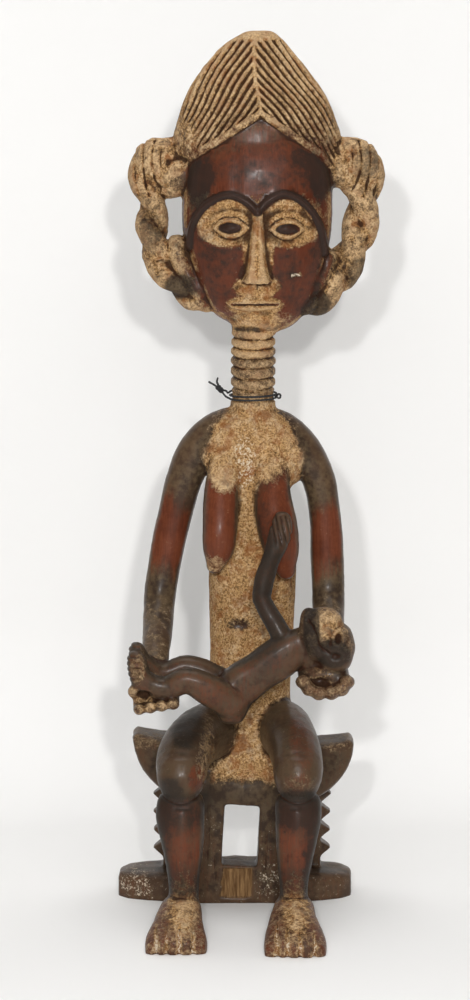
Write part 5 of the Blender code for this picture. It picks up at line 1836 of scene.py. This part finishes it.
@dataclass
class NeckString:
    """The black string tied twice round the foot of the neck, knotted at one side."""

    diameter: float = 1.1
    clearance: float = 0.3
    level: float = 276.6
    neck_radius: float = 12.2
    neck_middle: Corner = (9.8, 2.0)
    seat: float = 0.5
    turns: int = 2
    turn_steps: int = 40
    pitch: float = 1.9
    knot_reach: Place = (-4.8, -1.5, 4.6)
    finish: BlackString = field(default_factory=BlackString)

    def rope(self, route: list[Place] | np.ndarray, name: str) -> bpy.types.Object:
        """Lay twisted string along a route.

        Args:
            route: Points in millimetres.
            name: The new object's name.

        Returns:
            The length of string.
        """
        radius = self.diameter / 2
        stations = tuple((*point, radius, radius) for point in np.asarray(route, float).tolist())
        length = float(np.linalg.norm(np.diff(np.asarray(route), axis=0), axis=1).sum())
        return Limb(stations, facing=(0.1, 0.2, 1.0), steps=3, sides=10,
                    twist=(2, length / 2.6, 0.35)).model(name)

    def round_neck(self) -> np.ndarray:
        """Work out the route of the turns round the neck, lying in its lowest crease.

        Returns:
            The route's points, in millimetres.
        """
        reach = self.neck_radius - self.seat + self.clearance + self.diameter / 2
        steps = self.turn_steps * self.turns
        angles = math.pi + 2 * math.pi * np.arange(steps + 1) / self.turn_steps
        climb = self.pitch * self.turns * (np.arange(steps + 1) / steps - 0.5)
        return np.column_stack([self.neck_middle[0] + reach * np.cos(angles),
                                self.neck_middle[1] + reach * np.sin(angles), self.level + climb])

    def model(self) -> bpy.types.Object:
        """Tie the string: its turns, two strands to the knot, two frayed ends and a slack bow.

        Returns:
            The finished piece.
        """
        turns = self.round_neck()
        start, finish = turns[0], turns[-1]
        knot = start + np.array(self.knot_reach)
        pieces = [self.rope(turns, "turns")]
        pieces.append(self.rope([start, start + [-1.6, -0.6, 0.8],
                                 (start + knot) / 2 + [-0.4, 0, -0.5], knot,
                                 knot + [-2.2, -0.4, 2.0], knot + [-4.2, -0.6, 3.4],
                                 knot + [-6.4, -0.4, 4.6]], "first_end"))
        pieces.append(self.rope([finish, finish + [-1.2, -0.8, -0.6],
                                 (finish + knot) / 2 + [0.3, 0.1, 0.1],
                                 knot + [0.3, 0.4, 0.4], knot + [-1.2, 0.5, 2.6],
                                 knot + [-2.2, 0.6, 4.6], knot + [-1.8, 0.6, 6.6]], "second_end"))
        loops = 14
        for along, reach, tilt in ((0.0, 1.15, 0.6), (0.9, 1.25, -0.8), (1.9, 1.1, 0.9)):
            middle = knot + along * np.array([-0.8, 0.0, 0.9])
            ring = [middle + [reach * math.cos(turn), reach * math.sin(turn) * math.cos(tilt),
                              reach * math.sin(turn) * math.sin(tilt) + 0.25 * math.cos(2 * turn)]
                    for turn in np.linspace(0, 2 * math.pi * (1 - 0.5 / loops), loops)]
            pieces.append(self.rope(ring, "knot"))
        slack = turns[self.turn_steps // 2] + np.array([1.0, -1.6, 0.6])
        bow = [slack + [math.cos(turn) + 0.3, -0.7 * math.sin(turn), 1.2 * math.sin(turn)]
               for turn in np.linspace(0.3, 5.9, 12)]
        pieces.append(self.rope(bow, "slack"))
        made = join(pieces, "tied_string")
        made.data.materials.append(self.finish.mix())
        make_active(made)
        bpy.ops.object.shade_smooth()
        return made


@dataclass
class Studio:
    """A pale sweep of paper, four lamps and the camera at the photograph's angle."""

    camera_distance: float = 1.6
    camera_height: float = 0.47
    camera_dip: float = 8.9
    lens: float = 107.28
    half_width: float = 2.2
    front_edge: float = -2.4
    bend_start: float = 0.13
    bend_radius: float = 0.11
    bend_steps: int = 16
    wall_height: float = 2.6
    paper: PaleSweep = field(default_factory=PaleSweep)

    def sweep(self) -> bpy.types.Object:
        """Model the sweep: one edge of paper extruded back and up its curve.

        Returns:
            The paper.
        """
        deselect_all()
        bpy.ops.mesh.primitive_plane_add(size=1.0)
        paper = bpy.context.object
        paper.name = "paper_sweep"
        bpy.ops.object.mode_set(mode="EDIT")
        forms = bmesh.from_edit_mesh(paper.data)
        for vert in forms.verts:
            vert.co = ((1 if vert.co.x > 0 else -1) * self.half_width,
                       self.bend_start if vert.co.y > 0 else self.front_edge, 0.0)
        bpy.ops.mesh.select_mode(type="EDGE")
        bpy.ops.mesh.select_all(action="DESELECT")
        forms = bmesh.from_edit_mesh(paper.data)
        for edge in forms.edges:
            edge.select = all(vert.co.y > 0 for vert in edge.verts)
        before = np.array([self.bend_start, 0.0])
        for index in range(1, self.bend_steps + 1):
            turn = math.pi / 2 * index / self.bend_steps
            after = np.array([self.bend_start + self.bend_radius * math.sin(turn),
                              self.bend_radius * (1 - math.cos(turn))])
            step = after - before
            before = after
            bpy.ops.mesh.extrude_edges_move(TRANSFORM_OT_translate={"value": (0.0, step[0], step[1])})
        bpy.ops.mesh.extrude_edges_move(TRANSFORM_OT_translate={"value": (0.0, 0.0, self.wall_height)})
        bpy.ops.mesh.select_all(action="SELECT")
        bpy.ops.mesh.normals_make_consistent(inside=False)
        bpy.ops.object.mode_set(mode="OBJECT")
        bpy.ops.object.shade_smooth()
        paper.data.materials.append(self.paper.mix())
        return paper

    def lamp(self, name: str, place: Place, aim: Place,
             size: float, power: float, colour: Colour = (1.0, 1.0, 1.0)) -> None:
        """Hang one square lamp.

        Args:
            name: The lamp's name.
            place: Where it hangs, in metres.
            aim: What it points at.
            size: Its side, in metres.
            power: Its power in watts.
            colour: The colour of its light.
        """
        deselect_all()
        turn = (Vector(aim) - Vector(place)).to_track_quat("-Z", "Y").to_euler()
        bpy.ops.object.light_add(type="AREA", location=place, rotation=turn)
        made = bpy.context.object
        made.name = name
        made.data.shape = "SQUARE"
        made.data.size = size
        made.data.energy = power
        made.data.color = colour

    def build(self) -> bpy.types.Object:
        """Set up the paper, the lamps, the room's own light and the camera.

        Returns:
            The paper sweep.
        """
        paper = self.sweep()
        middle = (0.0, -0.02, 0.25)
        self.lamp("soft_lamp", (0.0, -1.75, 0.95), middle, 1.1, 7.0)
        self.lamp("key_lamp", (0.10, -1.65, 0.64), middle, 0.04, 8.6, (1.0, 0.99, 0.97))
        self.lamp("fill_lamp", (-0.11, -1.60, 0.62), middle, 0.04, 7.2)
        self.lamp("top_lamp", (0.0, -0.1, 1.7), (0.0, 0.0, 0.0), 0.9, 11.0)
        world = bpy.data.worlds.new("soft_room")
        world.use_nodes = True
        world.node_tree.nodes["Background"].inputs["Color"].default_value = (1.0, 0.97, 0.93, 1.0)
        world.node_tree.nodes["Background"].inputs["Strength"].default_value = 0.06
        bpy.context.scene.world = world
        bpy.context.scene.view_settings.view_transform = "Standard"
        deselect_all()
        bpy.ops.object.camera_add(location=(0.0, -self.camera_distance, self.camera_height),
                                  rotation=(math.radians(90.0 - self.camera_dip), 0.0, 0.0))
        camera = bpy.context.object
        camera.name = "photo_camera"
        camera.data.lens = self.lens
        camera.data.sensor_width = 36.0
        camera.data.clip_start, camera.data.clip_end = 0.05, 20.0
        bpy.context.scene.camera = camera
        return paper


def corners(box: tuple[Vector, Vector]) -> list[list[float]]:
    """Turn a box into plain lists of numbers."""
    return [list(map(float, corner)) for corner in box]


def main() -> None:
    """Build the pieces in order, dress the frame with them and log how many faces each has."""
    logging.basicConfig(level=logging.INFO, format="%(name)s: %(message)s")
    for item in list(bpy.data.objects):
        bpy.data.objects.remove(item, do_unlink=True)
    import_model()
    paper = Studio().build()
    LOG.info("studio ready")
    figure = Carving().model()
    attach(figure, "root")
    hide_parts("carved_figure")
    LOG.info("carved figure: %d triangles", len(figure.data.polygons))
    string = NeckString().model()
    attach(string, "root")
    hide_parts("neck_cord")
    LOG.info("tied string: %d faces", len(string.data.polygons))


if __name__ == "__main__":
    main()
